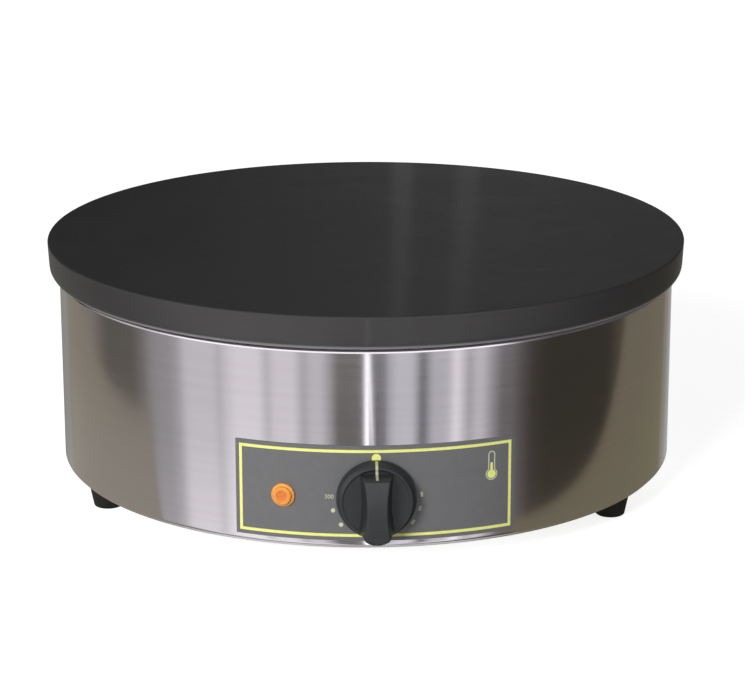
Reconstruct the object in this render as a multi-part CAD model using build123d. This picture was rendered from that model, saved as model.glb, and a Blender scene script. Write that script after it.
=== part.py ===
from build123d import *
import math
import os

# Round electric crepe maker: a cast griddle plate carried on the top flange of a rolled stainless
# drum, with two tubular heating elements clamped under the plate and a thermostat behind a label.
# Millimetres, +Z up. The origin is the middle of the drum on the counter, and the label faces -Y.
# Angles round the drum are counted from -Y, positive towards +X. A piece on the drum's wall is
# built in a frame of its own, with x along the wall, y up and z outwards from the drum's surface.

# ---- Stack of heights, from the counter up
foot_height = 12.5
base_thickness = 1.5
drum_height = 118.6
plate_gap = 0.7
plate_height = 21.0

# ---- Griddle plate
plate_radius = 200.0
plate_draft = 1.1
plate_top_round = 1.3
plate_foot_round = 6.0
deck_thickness = 12.0
skirt_width = 14.0
rim_boss_radius = 10.0
centre_boss_radius = 12.0
boss_bore_margin = 5.0

# ---- Drum and base plate
plate_overhang = 7.0
drum_wall = 1.0
sheet_bend = 2.2
flange_width = 25.0
vent_count = 16
vent_length = 36.0
vent_width = 5.0
vent_circle_radius = 80.0
base_screw_inset = 12.0
base_inset = 2.5
base_edge_round = 0.45

# ---- Feet, three at equal angles; the pattern is turned a little from the label
foot_count = 3
foot_turn = 55.0
foot_inset = 14.5
foot_top_radius = 11.3
foot_bottom_radius = 8.8
foot_round = 1.6
foot_recess_radius = 6.0
foot_recess_depth = 7.0
foot_washer_thickness = 1.0

# ---- Fixings (radius of the thread, width across flats, heights)
plate_stud_radius = 3.0
plate_nut_flats = 10.0
plate_nut_height = 5.0
clamp_stud_radius = 4.0
clamp_nut_flats = 13.0
clamp_nut_height = 6.5
foot_screw_radius = 2.5
foot_nut_flats = 8.0
foot_nut_height = 4.0
small_screw_radius = 2.0
small_nut_flats = 7.0
small_nut_height = 3.2
earth_stud_radius = 2.5
thread_end = 1.5
head_ratio = 1.9
head_height_ratio = 1.1
head_round_ratio = 0.45
slot_width_ratio = 0.45
tip_round_ratio = 0.25
washer_ratio = 0.6
clamp_washer_ratio = 0.8
nut_blunt_ratio = 0.9
nut_slope_ratio = 0.6

# ---- Plate fixing on the flange
stud_count = 4
stud_inset = 16.0
spacer_radius = 8.5
washer_thickness = 1.6

# ---- Heating elements and what holds them
element_radius = 4.25
element_bend = 12.0
element_leg_gap = 30.0
outer_loop_inset = 18.0
loop_pitch = 58.0
element_leg_drop = 14.0
pin_radius = 2.0
pin_length = 12.0
bead_height = 3.0
pin_nut_flats = 7.0
pin_nut_height = 3.2
link_width = 9.0
link_thickness = 1.0
clamp_arm_count = 4
clamp_arm_width = 24.0
clamp_arm_thickness = 4.0
clamp_arm_clearance = 4.0
clamp_hub_radius = 30.0

# ---- Heat shield and insulation
shield_inset = 17.0
shield_thickness = 0.8
shield_depth = 31.0
shield_flange_overlap = 10.0
shield_bend = 0.8
insulation_thickness = 16.0
leg_hole_clearance = 2.5

# ---- Control label and pilot lamp
label_length = 167.0
label_height = 57.6
label_thickness = 0.5
label_glue = 0.13
label_margin = 4.0
label_window_radius = 18.0
control_drop = 2.5
lamp_offset = 54.1
lamp_lens_radius = 7.0
lamp_lens_height = 3.6
lamp_flange_thickness = 1.2
lamp_barrel_radius = 5.0
lamp_barrel_length = 26.0
lamp_clip_radius = 8.5
lamp_clip_thickness = 1.0
lens_neck_length = 4.0
lens_wall = 1.2
lens_edge_round = 1.3
lamp_tab_length = 8.0
lamp_tab_width = 4.0
lamp_tab_pitch = 5.0
tab_thickness = 0.8

# ---- Thermostat
bracket_width = 44.0
bracket_height = 34.0
bracket_thickness = 1.5
thermostat_width = 40.0
thermostat_height = 44.0
thermostat_depth = 30.0
thermostat_screw_pitch = 28.0
thermostat_screw_depth = 8.0
thermostat_tab_pitch = 14.0
thermostat_tab_length = 8.0
thermostat_tab_width = 6.3
bracket_corner_round = 3.0
thermostat_corner_round = 2.0
shaft_radius = 3.0
shaft_flat = 1.6
shaft_flat_length = 12.0
shaft_in_body = 14.0
capillary_radius = 1.0
capillary_bend = 9.0
capillary_run = 24.0
bulb_radius = 3.0
bulb_length = 78.0
bulb_end_round = 1.2
saddle_length = 20.0
saddle_width = 12.0

# ---- Knob
knob_lift = 2.0
knob_radius = 23.4
knob_rim_radius = 22.4
knob_rim_height = 6.0
knob_ridge_radius = 20.4
knob_ridge_height = 8.0
knob_dish = 0.7
knob_edge_round = 0.9
knob_foot_round = 0.36
knob_wall = 2.4
knob_hub_radius = 6.5
knob_hub_depth = 14.0
grip_height = 22.0
grip_top_reach = 16.2
grip_top_width = 13.6
grip_waist_width = 11.6
grip_nose_width = 15.0
grip_nose_tip = 21.2
grip_nose_round = 3.2
grip_flare = 3.0
grip_brow = 5.0
grip_nose_drop = 2.2
grip_nose_reach = 18.4
grip_brow_flare = 0.3
grip_nose_flare = 0.3
grip_crest = -1.0
grip_edge_round = 1.1
grip_round_start = 4.0
pointer_width = 1.6
pointer_depth = 0.5
pointer_low = 3.5
pointer_high = 18.5

# ---- Terminal block, earth stud and cable gland
block_length = 42.0
block_width = 20.0
block_height = 17.0
block_x = -34.0
block_inset = 72.0
block_way_pitch = 10.8
block_way_radius = 3.0
block_way_lift = 7.65
block_screw_reach = 11.9
block_screw_slot = 0.7
block_screw_sunk = 1.0
insert_sunk = 1.0
block_clamp_radius = 1.7
block_screw_inset = 3.5
block_corner_round = 1.5
earth_x = 24.0
earth_length = 20.0
gland_height = 27.5
gland_thread_radius = 10.0
gland_flats = 24.0
gland_hex_height = 6.0
gland_reach = 24.0
gland_bore_radius = 7.5
gland_dome_bore_radius = 6.6
cable_bore_radius = 5.5
gland_seal_length = 12.0
gland_inner_length = 12.0
gland_nut_height = 5.0
gland_thread_step = 0.5
gland_seal_sunk = 7.2
gland_thread_reach = 8.4
gland_crown_radius = 8.6
gland_flute_count = 12
gland_flute_radius = 1.0

# ---- Leads
lead_radius = 1.3
lead_strip = 7.0
lead_bend_share = 0.45
lead_rest = 5.0

# ---- Clearances
fit = 0.05
face_gap = 0.05
element_gap = 0.2
hole_gap = 0.3
stack_gap = 2.0
# How far a cutting shape runs past the face that it cuts
past = 1.0

# ---- Radii that follow from the sizes above
drum_radius = plate_radius - plate_overhang
drum_inner = drum_radius - drum_wall
base_radius = drum_radius - base_inset
flange_inner = drum_radius - flange_width
skirt_inner = plate_radius - skirt_width
stud_circle = drum_radius - stud_inset
foot_circle = drum_radius - foot_inset
base_screw_circle = drum_radius - base_screw_inset
shield_radius = stud_circle - shield_inset
outer_loop_radius = shield_radius - outer_loop_inset
inner_loop_radius = outer_loop_radius - loop_pitch
bulb_circle = (outer_loop_radius + inner_loop_radius) / 2
label_inner = drum_radius + label_glue
label_outer = label_inner + label_thickness

# ---- Heights that follow
base_bottom = foot_height
drum_bottom = base_bottom + base_thickness
drum_top = drum_bottom + drum_height
flange_underside = drum_top - drum_wall
plate_bottom = drum_top + plate_gap
plate_top = plate_bottom + plate_height
deck_underside = plate_top - deck_thickness
element_height = deck_underside - element_gap - element_radius
arm_top = element_height - element_radius - element_gap
arm_bottom = arm_top - clamp_arm_thickness
clamp_nut_bottom = arm_bottom - washer_thickness - clamp_nut_height
shield_top = flange_underside
shield_bottom = shield_top - shield_depth
insulation_bottom = shield_bottom + shield_thickness + element_gap
insulation_top = insulation_bottom + insulation_thickness
leg_end = shield_bottom - element_leg_drop
plate_nut_top = shield_top - shield_thickness - washer_thickness
label_bottom = drum_bottom + label_margin
control_height = label_bottom + label_height / 2 - control_drop
gland_centre_height = drum_bottom + gland_height

# ---- Places on the wall
lamp_angle = -math.degrees(lamp_offset / label_outer)
label_half_angle = math.degrees(label_length / 2 / label_outer)
wall_lift = label_outer - drum_radius
bracket_front = math.sqrt(drum_inner**2 - (bracket_width / 2) ** 2) - hole_gap
bracket_back = bracket_front - bracket_thickness
thermostat_back = bracket_back - thermostat_depth
block_y = drum_radius - block_inset


def around(radius, angle):
    """The x and y of a point at a radius and an angle from -Y, positive towards +X."""
    turn = math.radians(angle)
    return radius * math.sin(turn), -radius * math.cos(turn)


def ring(outer, inner, low, high):
    """A turned ring about +Z between two heights; an inner radius of 0 gives a disc."""
    outline = [(inner, low), (outer, low), (outer, high), (inner, high)]
    return turned(outline)


def turned(outline, rounds=None):
    """A solid turned about +Z from (radius, height) corners; rounds holds each corner's radius."""
    path = FilletPolyline(*outline, radius=rounds or [0.0] * len(outline), close=True)
    return revolve(Plane.XZ * make_face(path), axis=Axis.Z)


def wall_frame(angle, height):
    """The frame of a piece on the drum's wall: x along the wall, y up, z outwards."""
    x, y = around(drum_radius, angle)
    outwards = around(1.0, angle)
    along = around(1.0, angle + 90.0)
    return Plane(origin=(x, y, height), x_dir=(*along, 0), z_dir=(*outwards, 0)).location


def spread(piece, radius, angles):
    """Copies of a piece built on the Z axis, moved out to a circle at the given angles."""
    return [Pos(*around(radius, angle), 0) * piece for angle in angles]


def hex_nut(flats, height, bore, low):
    """A hexagon nut standing on a height, with chamfered corners."""
    corner = flats / math.sqrt(3)
    blunt = (corner - flats / 2) * nut_blunt_ratio
    prism = Pos(0, 0, low) * extrude(RegularPolygon(flats / 2, 6, major_radius=False), height)
    high = low + height
    slope = blunt * nut_slope_ratio
    envelope = turned(
        [
            (0, low),
            (corner - blunt, low),
            (corner, low + slope),
            (corner, high - slope),
            (corner - blunt, high),
            (0, high),
        ]
    )
    return prism & envelope - ring(bore, 0, low - past, high + past)


def pan_screw(radius, seat, tip):
    """A pan-head screw pointing up: its head hangs under the seat and its shank ends at the tip."""
    head = radius * head_ratio
    depth = radius * head_height_ratio
    soft = depth * head_round_ratio
    low = seat - depth
    outline = [(0, low), (head, low), (head, seat), (radius, seat), (radius, tip), (0, tip)]
    body = turned(outline, [0.0, soft, 0.0, 0.0, radius * tip_round_ratio, 0.0])
    recess = Box(head, radius * slot_width_ratio, depth)
    slot = Pos(0, 0, low) * (recess + Rot(0, 0, 90) * recess)
    return body - slot


def group(pieces):
    """Several separate solids that share one node."""
    return Compound([solid for piece in pieces for solid in piece.solids()])


def bent_tube(radius, points, bend):
    """A tube along straight runs joined by tangent arcs, of one radius or one for each corner."""
    path = FilletPolyline(*points, radius=bend)
    start = Vector(*points[0])
    section = Plane(origin=start, z_dir=Vector(*points[1]) - start) * Circle(radius)
    return sweep(section, path=path)


# ---- Griddle plate and what fixes it

stud_angles = [45.0 + i * 360.0 / stud_count for i in range(stud_count)]
boss_bore_top = plate_top - boss_bore_margin
stud_bottom = plate_nut_top - plate_nut_height - thread_end


def griddle_plate():
    """The cast plate: a flat deck, a skirt with a rounded foot, rim bosses and a centre boss."""
    foot_radius = plate_radius - plate_draft
    plate = turned(
        [
            (0, deck_underside),
            (skirt_inner, deck_underside),
            (skirt_inner, plate_bottom),
            (foot_radius, plate_bottom),
            (plate_radius, plate_top),
            (0, plate_top),
        ],
        [0.0, 0.0, 0.0, plate_foot_round, plate_top_round, 0.0],
    )
    rim_boss = ring(rim_boss_radius, 0, plate_bottom, deck_underside + past)
    for boss in spread(rim_boss, stud_circle, stud_angles):
        plate += boss
    plate += ring(centre_boss_radius, 0, arm_top + element_gap, deck_underside + past)
    rim_bore = ring(plate_stud_radius + fit, 0, plate_bottom - past, boss_bore_top)
    for bore in spread(rim_bore, stud_circle, stud_angles):
        plate -= bore
    return plate - ring(clamp_stud_radius + fit, 0, arm_top - past, boss_bore_top)


def on_studs(piece):
    """One copy of a piece at each plate stud."""
    return group(spread(piece, stud_circle, stud_angles))


def plate_studs():
    """The studs that stand in the rim bosses and reach down through the flange."""
    return on_studs(ring(plate_stud_radius, 0, stud_bottom, boss_bore_top - fit))


def plate_spacers():
    """The thin ceramic spacers between the rim bosses and the drum's flange."""
    return on_studs(ring(spacer_radius, plate_stud_radius + hole_gap, drum_top, plate_bottom))


def plate_washers():
    """The flat washers under the heat shield's flange."""
    top = shield_top - shield_thickness
    washer_radius = plate_nut_flats * washer_ratio
    return on_studs(ring(washer_radius, plate_stud_radius + hole_gap, plate_nut_top, top))


def plate_nuts():
    """The nuts on the plate studs."""
    low = plate_nut_top - plate_nut_height
    return on_studs(hex_nut(plate_nut_flats, plate_nut_height, plate_stud_radius + fit, low))


# ---- Heating elements, clamp, insulation and heat shield


def loop_ends(loop_radius):
    """Half the angle between a loop's ends, at the rear, in radians."""
    return math.asin((element_leg_gap / 2 + element_bend) / loop_radius)


def leg_places(loop_radius):
    """The x and y of a loop's two legs, left and right."""
    y = loop_radius * math.cos(loop_ends(loop_radius))
    half = loop_ends(loop_radius)
    reach = loop_radius * math.sin(half) - element_bend * math.cos(half)
    return [(side * reach, y + element_bend * math.sin(half)) for side in (-1, 1)]


def heating_element(loop_radius):
    """A tubular element: one open loop, both ends bent down into straight legs at the rear."""
    half = loop_ends(loop_radius)
    slant = element_bend * (1 - math.cos(math.pi / 4))
    left_end = (-loop_radius * math.sin(half), loop_radius * math.cos(half), element_height)
    right_end = (-left_end[0], left_end[1], element_height)
    front = (0, -loop_radius, element_height)
    left_leg, right_leg = leg_places(loop_radius)

    def quarter(end, leg):
        """The quarter bend from a loop's end down to its leg, as three points."""
        share = math.sin(math.pi / 4)
        middle = (
            end[0] + (leg[0] - end[0]) * share,
            end[1] + (leg[1] - end[1]) * share,
            element_height - slant,
        )
        return end, middle, (leg[0], leg[1], element_height - element_bend)

    left = quarter(left_end, left_leg)
    right = quarter(right_end, right_leg)
    path = Wire(
        [
            Edge.make_line((*left_leg, leg_end), left[2]),
            Edge.make_three_point_arc(left[2], left[1], left[0]),
            Edge.make_three_point_arc(left_end, front, right_end),
            Edge.make_three_point_arc(right[0], right[1], right[2]),
            Edge.make_line(right[2], (*right_leg, leg_end)),
        ]
    )
    section = Plane(origin=(*left_leg, leg_end), z_dir=(0, 0, 1)) * Circle(element_radius)
    return sweep(section, path=path)


all_legs = leg_places(outer_loop_radius) + leg_places(inner_loop_radius)


def on_legs(piece):
    """One copy of a piece at each element leg."""
    return [Pos(x, y, 0) * piece for x, y in all_legs]


def element_beads():
    """The ceramic beads that close the element legs."""
    return group(on_legs(ring(element_radius, pin_radius + fit, leg_end - bead_height, leg_end)))


def element_pins():
    """The threaded terminal pins at the ends of the legs."""
    return group(on_legs(ring(pin_radius, 0, leg_end - pin_length, leg_end)))


def element_clamp():
    """The steel cross that presses both loops up against the deck."""
    reach = shield_radius - shield_thickness - clamp_arm_clearance
    clamp = ring(clamp_hub_radius, 0, arm_bottom, arm_top)
    arm = Pos(reach / 2, 0, arm_bottom) * Box(
        reach, clamp_arm_width, clamp_arm_thickness, align=(Align.CENTER, Align.CENTER, Align.MIN)
    )
    for i in range(clamp_arm_count):
        clamp += Rot(0, 0, 90.0 + i * 360.0 / clamp_arm_count) * arm
    # The rear arm stops short of the legs of both loops.
    rear_start = inner_loop_radius - element_leg_gap / 2
    clear = Pos(0, rear_start, arm_bottom) * Box(
        clamp_arm_width + 2 * past,
        shield_radius,
        clamp_arm_thickness,
        align=(Align.CENTER, Align.MIN, Align.MIN),
    )
    return clamp - clear - ring(clamp_stud_radius + hole_gap, 0, arm_bottom - past, arm_top + past)


def clamp_stud():
    """The stud in the centre boss that draws the clamp up."""
    return ring(clamp_stud_radius, 0, clamp_nut_bottom - thread_end, boss_bore_top - fit)


def clamp_washer():
    """The washer under the clamp."""
    low = arm_bottom - washer_thickness
    return ring(clamp_nut_flats * clamp_washer_ratio, clamp_stud_radius + hole_gap, low, arm_bottom)


def clamp_nut():
    """The nut on the clamp stud."""
    return hex_nut(clamp_nut_flats, clamp_nut_height, clamp_stud_radius + fit, clamp_nut_bottom)


leg_hole_radius = element_radius + leg_hole_clearance
capillary_hole_radius = capillary_radius + leg_hole_clearance
capillary_x = bulb_length / 2 + capillary_run


def pierced(piece, low, high):
    """A piece with the holes for the element legs and the capillary tube cut between two heights."""
    for hole in on_legs(ring(leg_hole_radius, 0, low - past, high + past)):
        piece -= hole
    tube_hole = ring(capillary_hole_radius, 0, low - past, high + past)
    return piece - Pos(capillary_x, -bulb_circle, 0) * tube_hole


def insulation_disc():
    """The ceramic fibre disc that lies in the heat shield."""
    disc = ring(shield_radius - shield_thickness - stack_gap, 0, insulation_bottom, insulation_top)
    return pierced(disc, insulation_bottom, insulation_top)


def heat_shield():
    """The pan under the elements, hung from the plate studs by its flange."""
    inner = shield_radius - shield_thickness
    edge = stud_circle + shield_flange_overlap
    low, high = shield_bottom, shield_top
    outline = [
        (0, low),
        (shield_radius, low),
        (shield_radius, high - shield_thickness),
        (edge, high - shield_thickness),
        (edge, high),
        (inner, high),
        (inner, low + shield_thickness),
        (0, low + shield_thickness),
    ]
    bend_out = shield_bend + shield_thickness
    rounds = [0.0, bend_out, shield_bend, 0.0, 0.0, bend_out, shield_bend, 0.0]
    pan = pierced(turned(outline, rounds), low, low + shield_thickness)
    hole = ring(plate_stud_radius + hole_gap, 0, high - shield_thickness - past, high + past)
    for bore in spread(hole, stud_circle, stud_angles):
        pan -= bore
    return pan


# ---- Drum, base plate, feet and their fixings

foot_angles = [foot_turn + i * 360.0 / foot_count for i in range(foot_count)]
foot_names = ["foot_right", "foot_rear", "foot_left"]
base_screw_step = 360.0 / foot_count / 3
base_screw_angles = [a + i * base_screw_step for a in foot_angles for i in (1, 2)]


def drum():
    """The rolled casing: a wall with a flange bent inwards at its top and bottom edges."""
    inner_bend = sheet_bend - drum_wall
    outline = [
        (drum_radius, drum_bottom),
        (drum_radius, drum_top),
        (flange_inner, drum_top),
        (flange_inner, drum_top - drum_wall),
        (drum_inner, drum_top - drum_wall),
        (drum_inner, drum_bottom + drum_wall),
        (flange_inner, drum_bottom + drum_wall),
        (flange_inner, drum_bottom),
    ]
    rounds = [sheet_bend, sheet_bend, 0.0, 0.0, inner_bend, inner_bend, 0.0, 0.0]
    casing = turned(outline, rounds)
    top_low, top_high = drum_top - drum_wall - past, drum_top + past
    low, high = drum_bottom - past, drum_bottom + drum_wall + past
    stud_hole = ring(plate_stud_radius + hole_gap, 0, top_low, top_high)
    foot_hole = ring(foot_screw_radius + hole_gap, 0, low, high)
    screw_hole = ring(small_screw_radius + hole_gap, 0, low, high)
    for hole in spread(stud_hole, stud_circle, stud_angles):
        casing -= hole
    for hole in spread(foot_hole, foot_circle, foot_angles):
        casing -= hole
    for hole in spread(screw_hole, base_screw_circle, base_screw_angles):
        casing -= hole
    lamp_hole = ring(lamp_barrel_radius + hole_gap, 0, -2 * drum_wall, drum_wall)
    casing -= wall_frame(lamp_angle, control_height) * lamp_hole
    gland_hole = ring(gland_thread_radius + hole_gap, 0, -2 * drum_wall, drum_wall)
    casing -= wall_frame(180.0, gland_centre_height) * gland_hole
    front = wall_frame(0.0, control_height)
    casing -= front * ring(shaft_radius + 2 * hole_gap, 0, -2 * drum_wall, drum_wall)
    for side in (-1, 1):
        bore = ring(small_screw_radius + hole_gap, 0, -2 * drum_wall, drum_wall)
        casing -= front * Pos(side * thermostat_screw_pitch / 2, 0, 0) * bore
    return casing


def base_plate():
    """The flat plate that closes the drum from below, with a ring of cooling slots."""
    soft = base_edge_round
    plate = turned(
        [(0, base_bottom), (base_radius, base_bottom), (base_radius, drum_bottom), (0, drum_bottom)],
        [0.0, soft, soft, 0.0],
    )
    slot = extrude(SlotOverall(vent_length, vent_width), base_thickness + 2 * past)
    for i in range(vent_count):
        turn = i * 360.0 / vent_count
        plate -= Rot(0, 0, turn) * Pos(vent_circle_radius, 0, base_bottom - past) * slot
    low, high = base_bottom - past, drum_bottom + past
    for hole in spread(ring(foot_screw_radius + hole_gap, 0, low, high), foot_circle, foot_angles):
        plate -= hole
    small_hole = ring(small_screw_radius + hole_gap, 0, low, high)
    for hole in spread(small_hole, base_screw_circle, base_screw_angles):
        plate -= hole
    for x, y in block_screw_places:
        plate -= Pos(x, y, 0) * small_hole
    return plate - Pos(earth_x, block_y, 0) * ring(earth_stud_radius + hole_gap, 0, low, high)


def foot():
    """One tapered rubber foot with a recess for its screw."""
    low_bore = foot_recess_radius
    bore = foot_screw_radius + hole_gap
    return turned(
        [
            (low_bore, 0),
            (foot_bottom_radius, 0),
            (foot_top_radius, foot_height),
            (bore, foot_height),
            (bore, foot_recess_depth),
            (low_bore, foot_recess_depth),
        ],
        [0.0, foot_round, foot_round / 2, 0.0, 0.0, 0.0],
    )


foot_seat = foot_recess_depth - foot_washer_thickness
foot_nut_low = drum_bottom + drum_wall


def foot_washers():
    """The steel washers inside the feet."""
    washer = ring(
        foot_recess_radius - hole_gap, foot_screw_radius + hole_gap, foot_seat, foot_recess_depth
    )
    return group(spread(washer, foot_circle, foot_angles))


def foot_screws():
    """The screws that hold the feet and the base plate to the drum."""
    screw = pan_screw(foot_screw_radius, foot_seat, foot_nut_low + foot_nut_height + thread_end)
    return group(spread(screw, foot_circle, foot_angles))


def foot_nuts():
    """The nuts of the foot screws, on the drum's lower flange."""
    nut = hex_nut(foot_nut_flats, foot_nut_height, foot_screw_radius + fit, foot_nut_low)
    return group(spread(nut, foot_circle, foot_angles))


def base_screws():
    """The small screws between the feet."""
    screw = pan_screw(small_screw_radius, base_bottom, foot_nut_low + small_nut_height + thread_end)
    return group(spread(screw, base_screw_circle, base_screw_angles))


def base_nuts():
    """The nuts of the small base screws."""
    nut = hex_nut(small_nut_flats, small_nut_height, small_screw_radius + fit, foot_nut_low)
    return group(spread(nut, base_screw_circle, base_screw_angles))


# ---- Control label and pilot lamp


def control_label():
    """The label bent round the drum, with windows for the knob's shaft and the lamp."""
    top = label_bottom + label_height
    sheet = ring(label_outer, label_inner, label_bottom, top)
    reach = 2 * drum_radius
    left = (*around(reach, -label_half_angle), 0)
    right = (*around(reach, label_half_angle), 0)
    wedge = make_face(Polyline((0, 0, 0), left, (0, -reach * 2, 0), right, close=True))
    sheet = sheet & extrude(wedge, top + label_height, dir=(0, 0, 1))
    window_low, window_high = -2 * past, wall_lift + past
    window = ring(label_window_radius, 0, window_low, window_high)
    lamp_window = ring(lamp_barrel_radius + hole_gap, 0, window_low, window_high)
    sheet -= wall_frame(0.0, control_height) * window
    return sheet - wall_frame(lamp_angle, control_height) * lamp_window


lamp_seat = wall_lift + face_gap
lamp_flange_top = lamp_seat + lamp_flange_thickness
lens_neck_radius = lamp_barrel_radius - lens_wall
lamp_barrel_end = lamp_seat - lamp_barrel_length


def pilot_lamp_lens():
    """The domed lens: a flange on the label and a neck that plugs into the barrel."""
    top = lamp_seat + lamp_lens_height
    dome_radius = lamp_lens_radius - lens_wall
    outline = [
        (0, lamp_seat - lens_neck_length),
        (lens_neck_radius, lamp_seat - lens_neck_length),
        (lens_neck_radius, lamp_seat),
        (lamp_lens_radius, lamp_seat),
        (lamp_lens_radius, lamp_flange_top),
        (dome_radius, lamp_flange_top + lens_wall / 2),
        (dome_radius - lens_wall / 2, top),
        (0, top),
    ]
    lens = turned(outline, [0.0, 0.0, 0.0, 0.0, lens_wall / 2, 0.0, lens_edge_round, 0.0])
    return wall_frame(lamp_angle, control_height) * lens


def pilot_lamp_body():
    """The lamp's barrel behind the wall, with its two tabs."""
    bore = lens_neck_radius + fit
    bore_end = lamp_seat - lens_neck_length - fit
    outline = [
        (0, lamp_barrel_end),
        (lamp_barrel_radius, lamp_barrel_end),
        (lamp_barrel_radius, lamp_seat - fit),
        (bore, lamp_seat - fit),
        (bore, bore_end),
        (0, bore_end),
    ]
    body = turned(outline)
    top_in = (Align.CENTER, Align.CENTER, Align.MAX)
    tab = Box(tab_thickness, lamp_tab_width, lamp_tab_length + past, align=top_in)
    for side in (-1, 1):
        body += Pos(side * lamp_tab_pitch / 2, 0, lamp_barrel_end + past) * tab
    return wall_frame(lamp_angle, control_height) * body


def pilot_lamp_clip():
    """The star clip that holds the barrel from behind the wall."""
    flat = lamp_clip_radius**2 / 2 / drum_inner
    high = -drum_wall - flat - face_gap
    clip = ring(lamp_clip_radius, lamp_barrel_radius + fit, high - lamp_clip_thickness, high)
    return wall_frame(lamp_angle, control_height) * clip


# ---- Thermostat


def front_block(width, height, back, front):
    """A block behind the label, centred on the knob's axis, between two distances from the middle."""
    return Pos(0, -front, control_height) * Box(
        width, front - back, height, align=(Align.CENTER, Align.MIN, Align.CENTER)
    )


def front_bore(radius, back, front, x=0.0):
    """A cylinder along the knob's axis between two distances from the drum's middle."""
    bore = Cylinder(radius, front - back, align=(Align.CENTER, Align.CENTER, Align.MIN))
    return Pos(x, -back, control_height) * Rot(90, 0, 0) * bore


def thermostat_bracket():
    """The bracket between the thermostat and the drum's wall."""
    bracket = front_block(bracket_width, bracket_height, bracket_back, bracket_front)
    bracket = fillet(bracket.edges().filter_by(Axis.Y), bracket_corner_round)
    low, high = bracket_back - past, bracket_front + past
    bracket -= front_bore(shaft_radius + 2 * hole_gap, low, high)
    for side in (-1, 1):
        x = side * thermostat_screw_pitch / 2
        bracket -= front_bore(small_screw_radius + hole_gap, low, high, x)
    return bracket


def thermostat_body():
    """The thermostat's case, with bores for its shaft and screws and two tabs at the back."""
    body = front_block(thermostat_width, thermostat_height, thermostat_back, bracket_back)
    body = fillet(body.edges().filter_by(Axis.Y), thermostat_corner_round)
    body -= front_bore(shaft_radius + fit, bracket_back - shaft_in_body - fit, bracket_back + past)
    for side in (-1, 1):
        x = side * thermostat_screw_pitch / 2
        low = bracket_back - thermostat_screw_depth - fit
        body -= front_bore(small_screw_radius + fit, low, bracket_back + past, x)
        tab = Box(
            tab_thickness,
            thermostat_tab_length,
            thermostat_tab_width,
            align=(Align.CENTER, Align.MIN, Align.CENTER),
        )
        body += Pos(side * thermostat_tab_pitch / 2, -thermostat_back, control_height) * tab
    return body


def thermostat_screws():
    """The two screws under the knob that hold the thermostat to the wall."""
    sag = (thermostat_screw_pitch / 2 + small_screw_radius * head_ratio) ** 2 / 2 / drum_radius
    length = drum_radius - bracket_back + thermostat_screw_depth
    screw = Rot(180, 0, 0) * pan_screw(small_screw_radius, 0, length - sag)
    inner_edge = thermostat_screw_pitch / 2 - small_screw_radius * head_ratio
    lift = face_gap - inner_edge**2 / 2 / drum_radius
    front = wall_frame(0.0, control_height)
    places = (-thermostat_screw_pitch / 2, thermostat_screw_pitch / 2)
    return group([front * Pos(x, 0, lift) * screw for x in places])


shaft_tip = knob_lift + knob_hub_depth


def thermostat_shaft():
    """The turning shaft, with a flat for the knob."""
    back = bracket_back - shaft_in_body
    shaft = front_bore(shaft_radius, back, drum_radius + shaft_tip)
    lift = shaft_radius - shaft_flat
    from_tip = (Align.CENTER, Align.MIN, Align.MIN)
    flat = Box(4 * shaft_radius, shaft_flat_length, 2 * shaft_radius, align=from_tip)
    return shaft - Pos(0, -(drum_radius + shaft_tip), control_height + lift) * flat


capillary_end_x = thermostat_width / 2
capillary_end_y = -(thermostat_back + thermostat_depth / 3)
bulb_height = deck_underside - element_gap - bulb_radius


def capillary_tube():
    """The capillary from the bulb down through the heat shield to the thermostat's side."""
    points = [
        (bulb_length / 2, -bulb_circle, bulb_height),
        (capillary_x, -bulb_circle, bulb_height),
        (capillary_x, -bulb_circle, control_height),
        (capillary_x, capillary_end_y, control_height),
        (capillary_end_x, capillary_end_y, control_height),
    ]
    return bent_tube(capillary_radius, points, capillary_bend)


def sensing_bulb():
    """The thermostat's bulb, lying under the deck between the loops."""
    bulb = Cylinder(bulb_radius, bulb_length)
    bulb = fillet(bulb.edges(), bulb_end_round)
    return Pos(0, -bulb_circle, bulb_height) * Rot(0, 90, 0) * bulb


def bulb_saddle():
    """The saddle on the clamp's front arm that presses the bulb to the deck."""
    low = arm_top + face_gap
    upwards = (Align.CENTER, Align.CENTER, Align.MIN)
    saddle = Box(saddle_length, saddle_width, bulb_height - low, align=upwards)
    groove = Rot(0, 90, 0) * Cylinder(bulb_radius + fit, saddle_length + 2 * past)
    return Pos(0, -bulb_circle, low) * saddle - Pos(0, -bulb_circle, bulb_height) * groove


# ---- Knob, built about its own axis with z outwards from the drum's surface

rim_top = knob_lift + knob_rim_height
ridge_top = knob_lift + knob_ridge_height
dish_face = ridge_top - knob_dish
grip_front = knob_lift + grip_height


def knob_skirt():
    """The knob's round skirt: a side that narrows outwards, a sloping rim and a dished face."""
    outline = [
        (0, knob_lift),
        (knob_radius, knob_lift),
        (knob_rim_radius, rim_top),
        (knob_ridge_radius, ridge_top),
        (knob_ridge_radius - 2 * knob_dish, dish_face),
        (0, dish_face),
    ]
    soft = knob_edge_round
    return turned(outline, [0.0, knob_foot_round, soft, soft, 0.0, 0.0])


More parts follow.
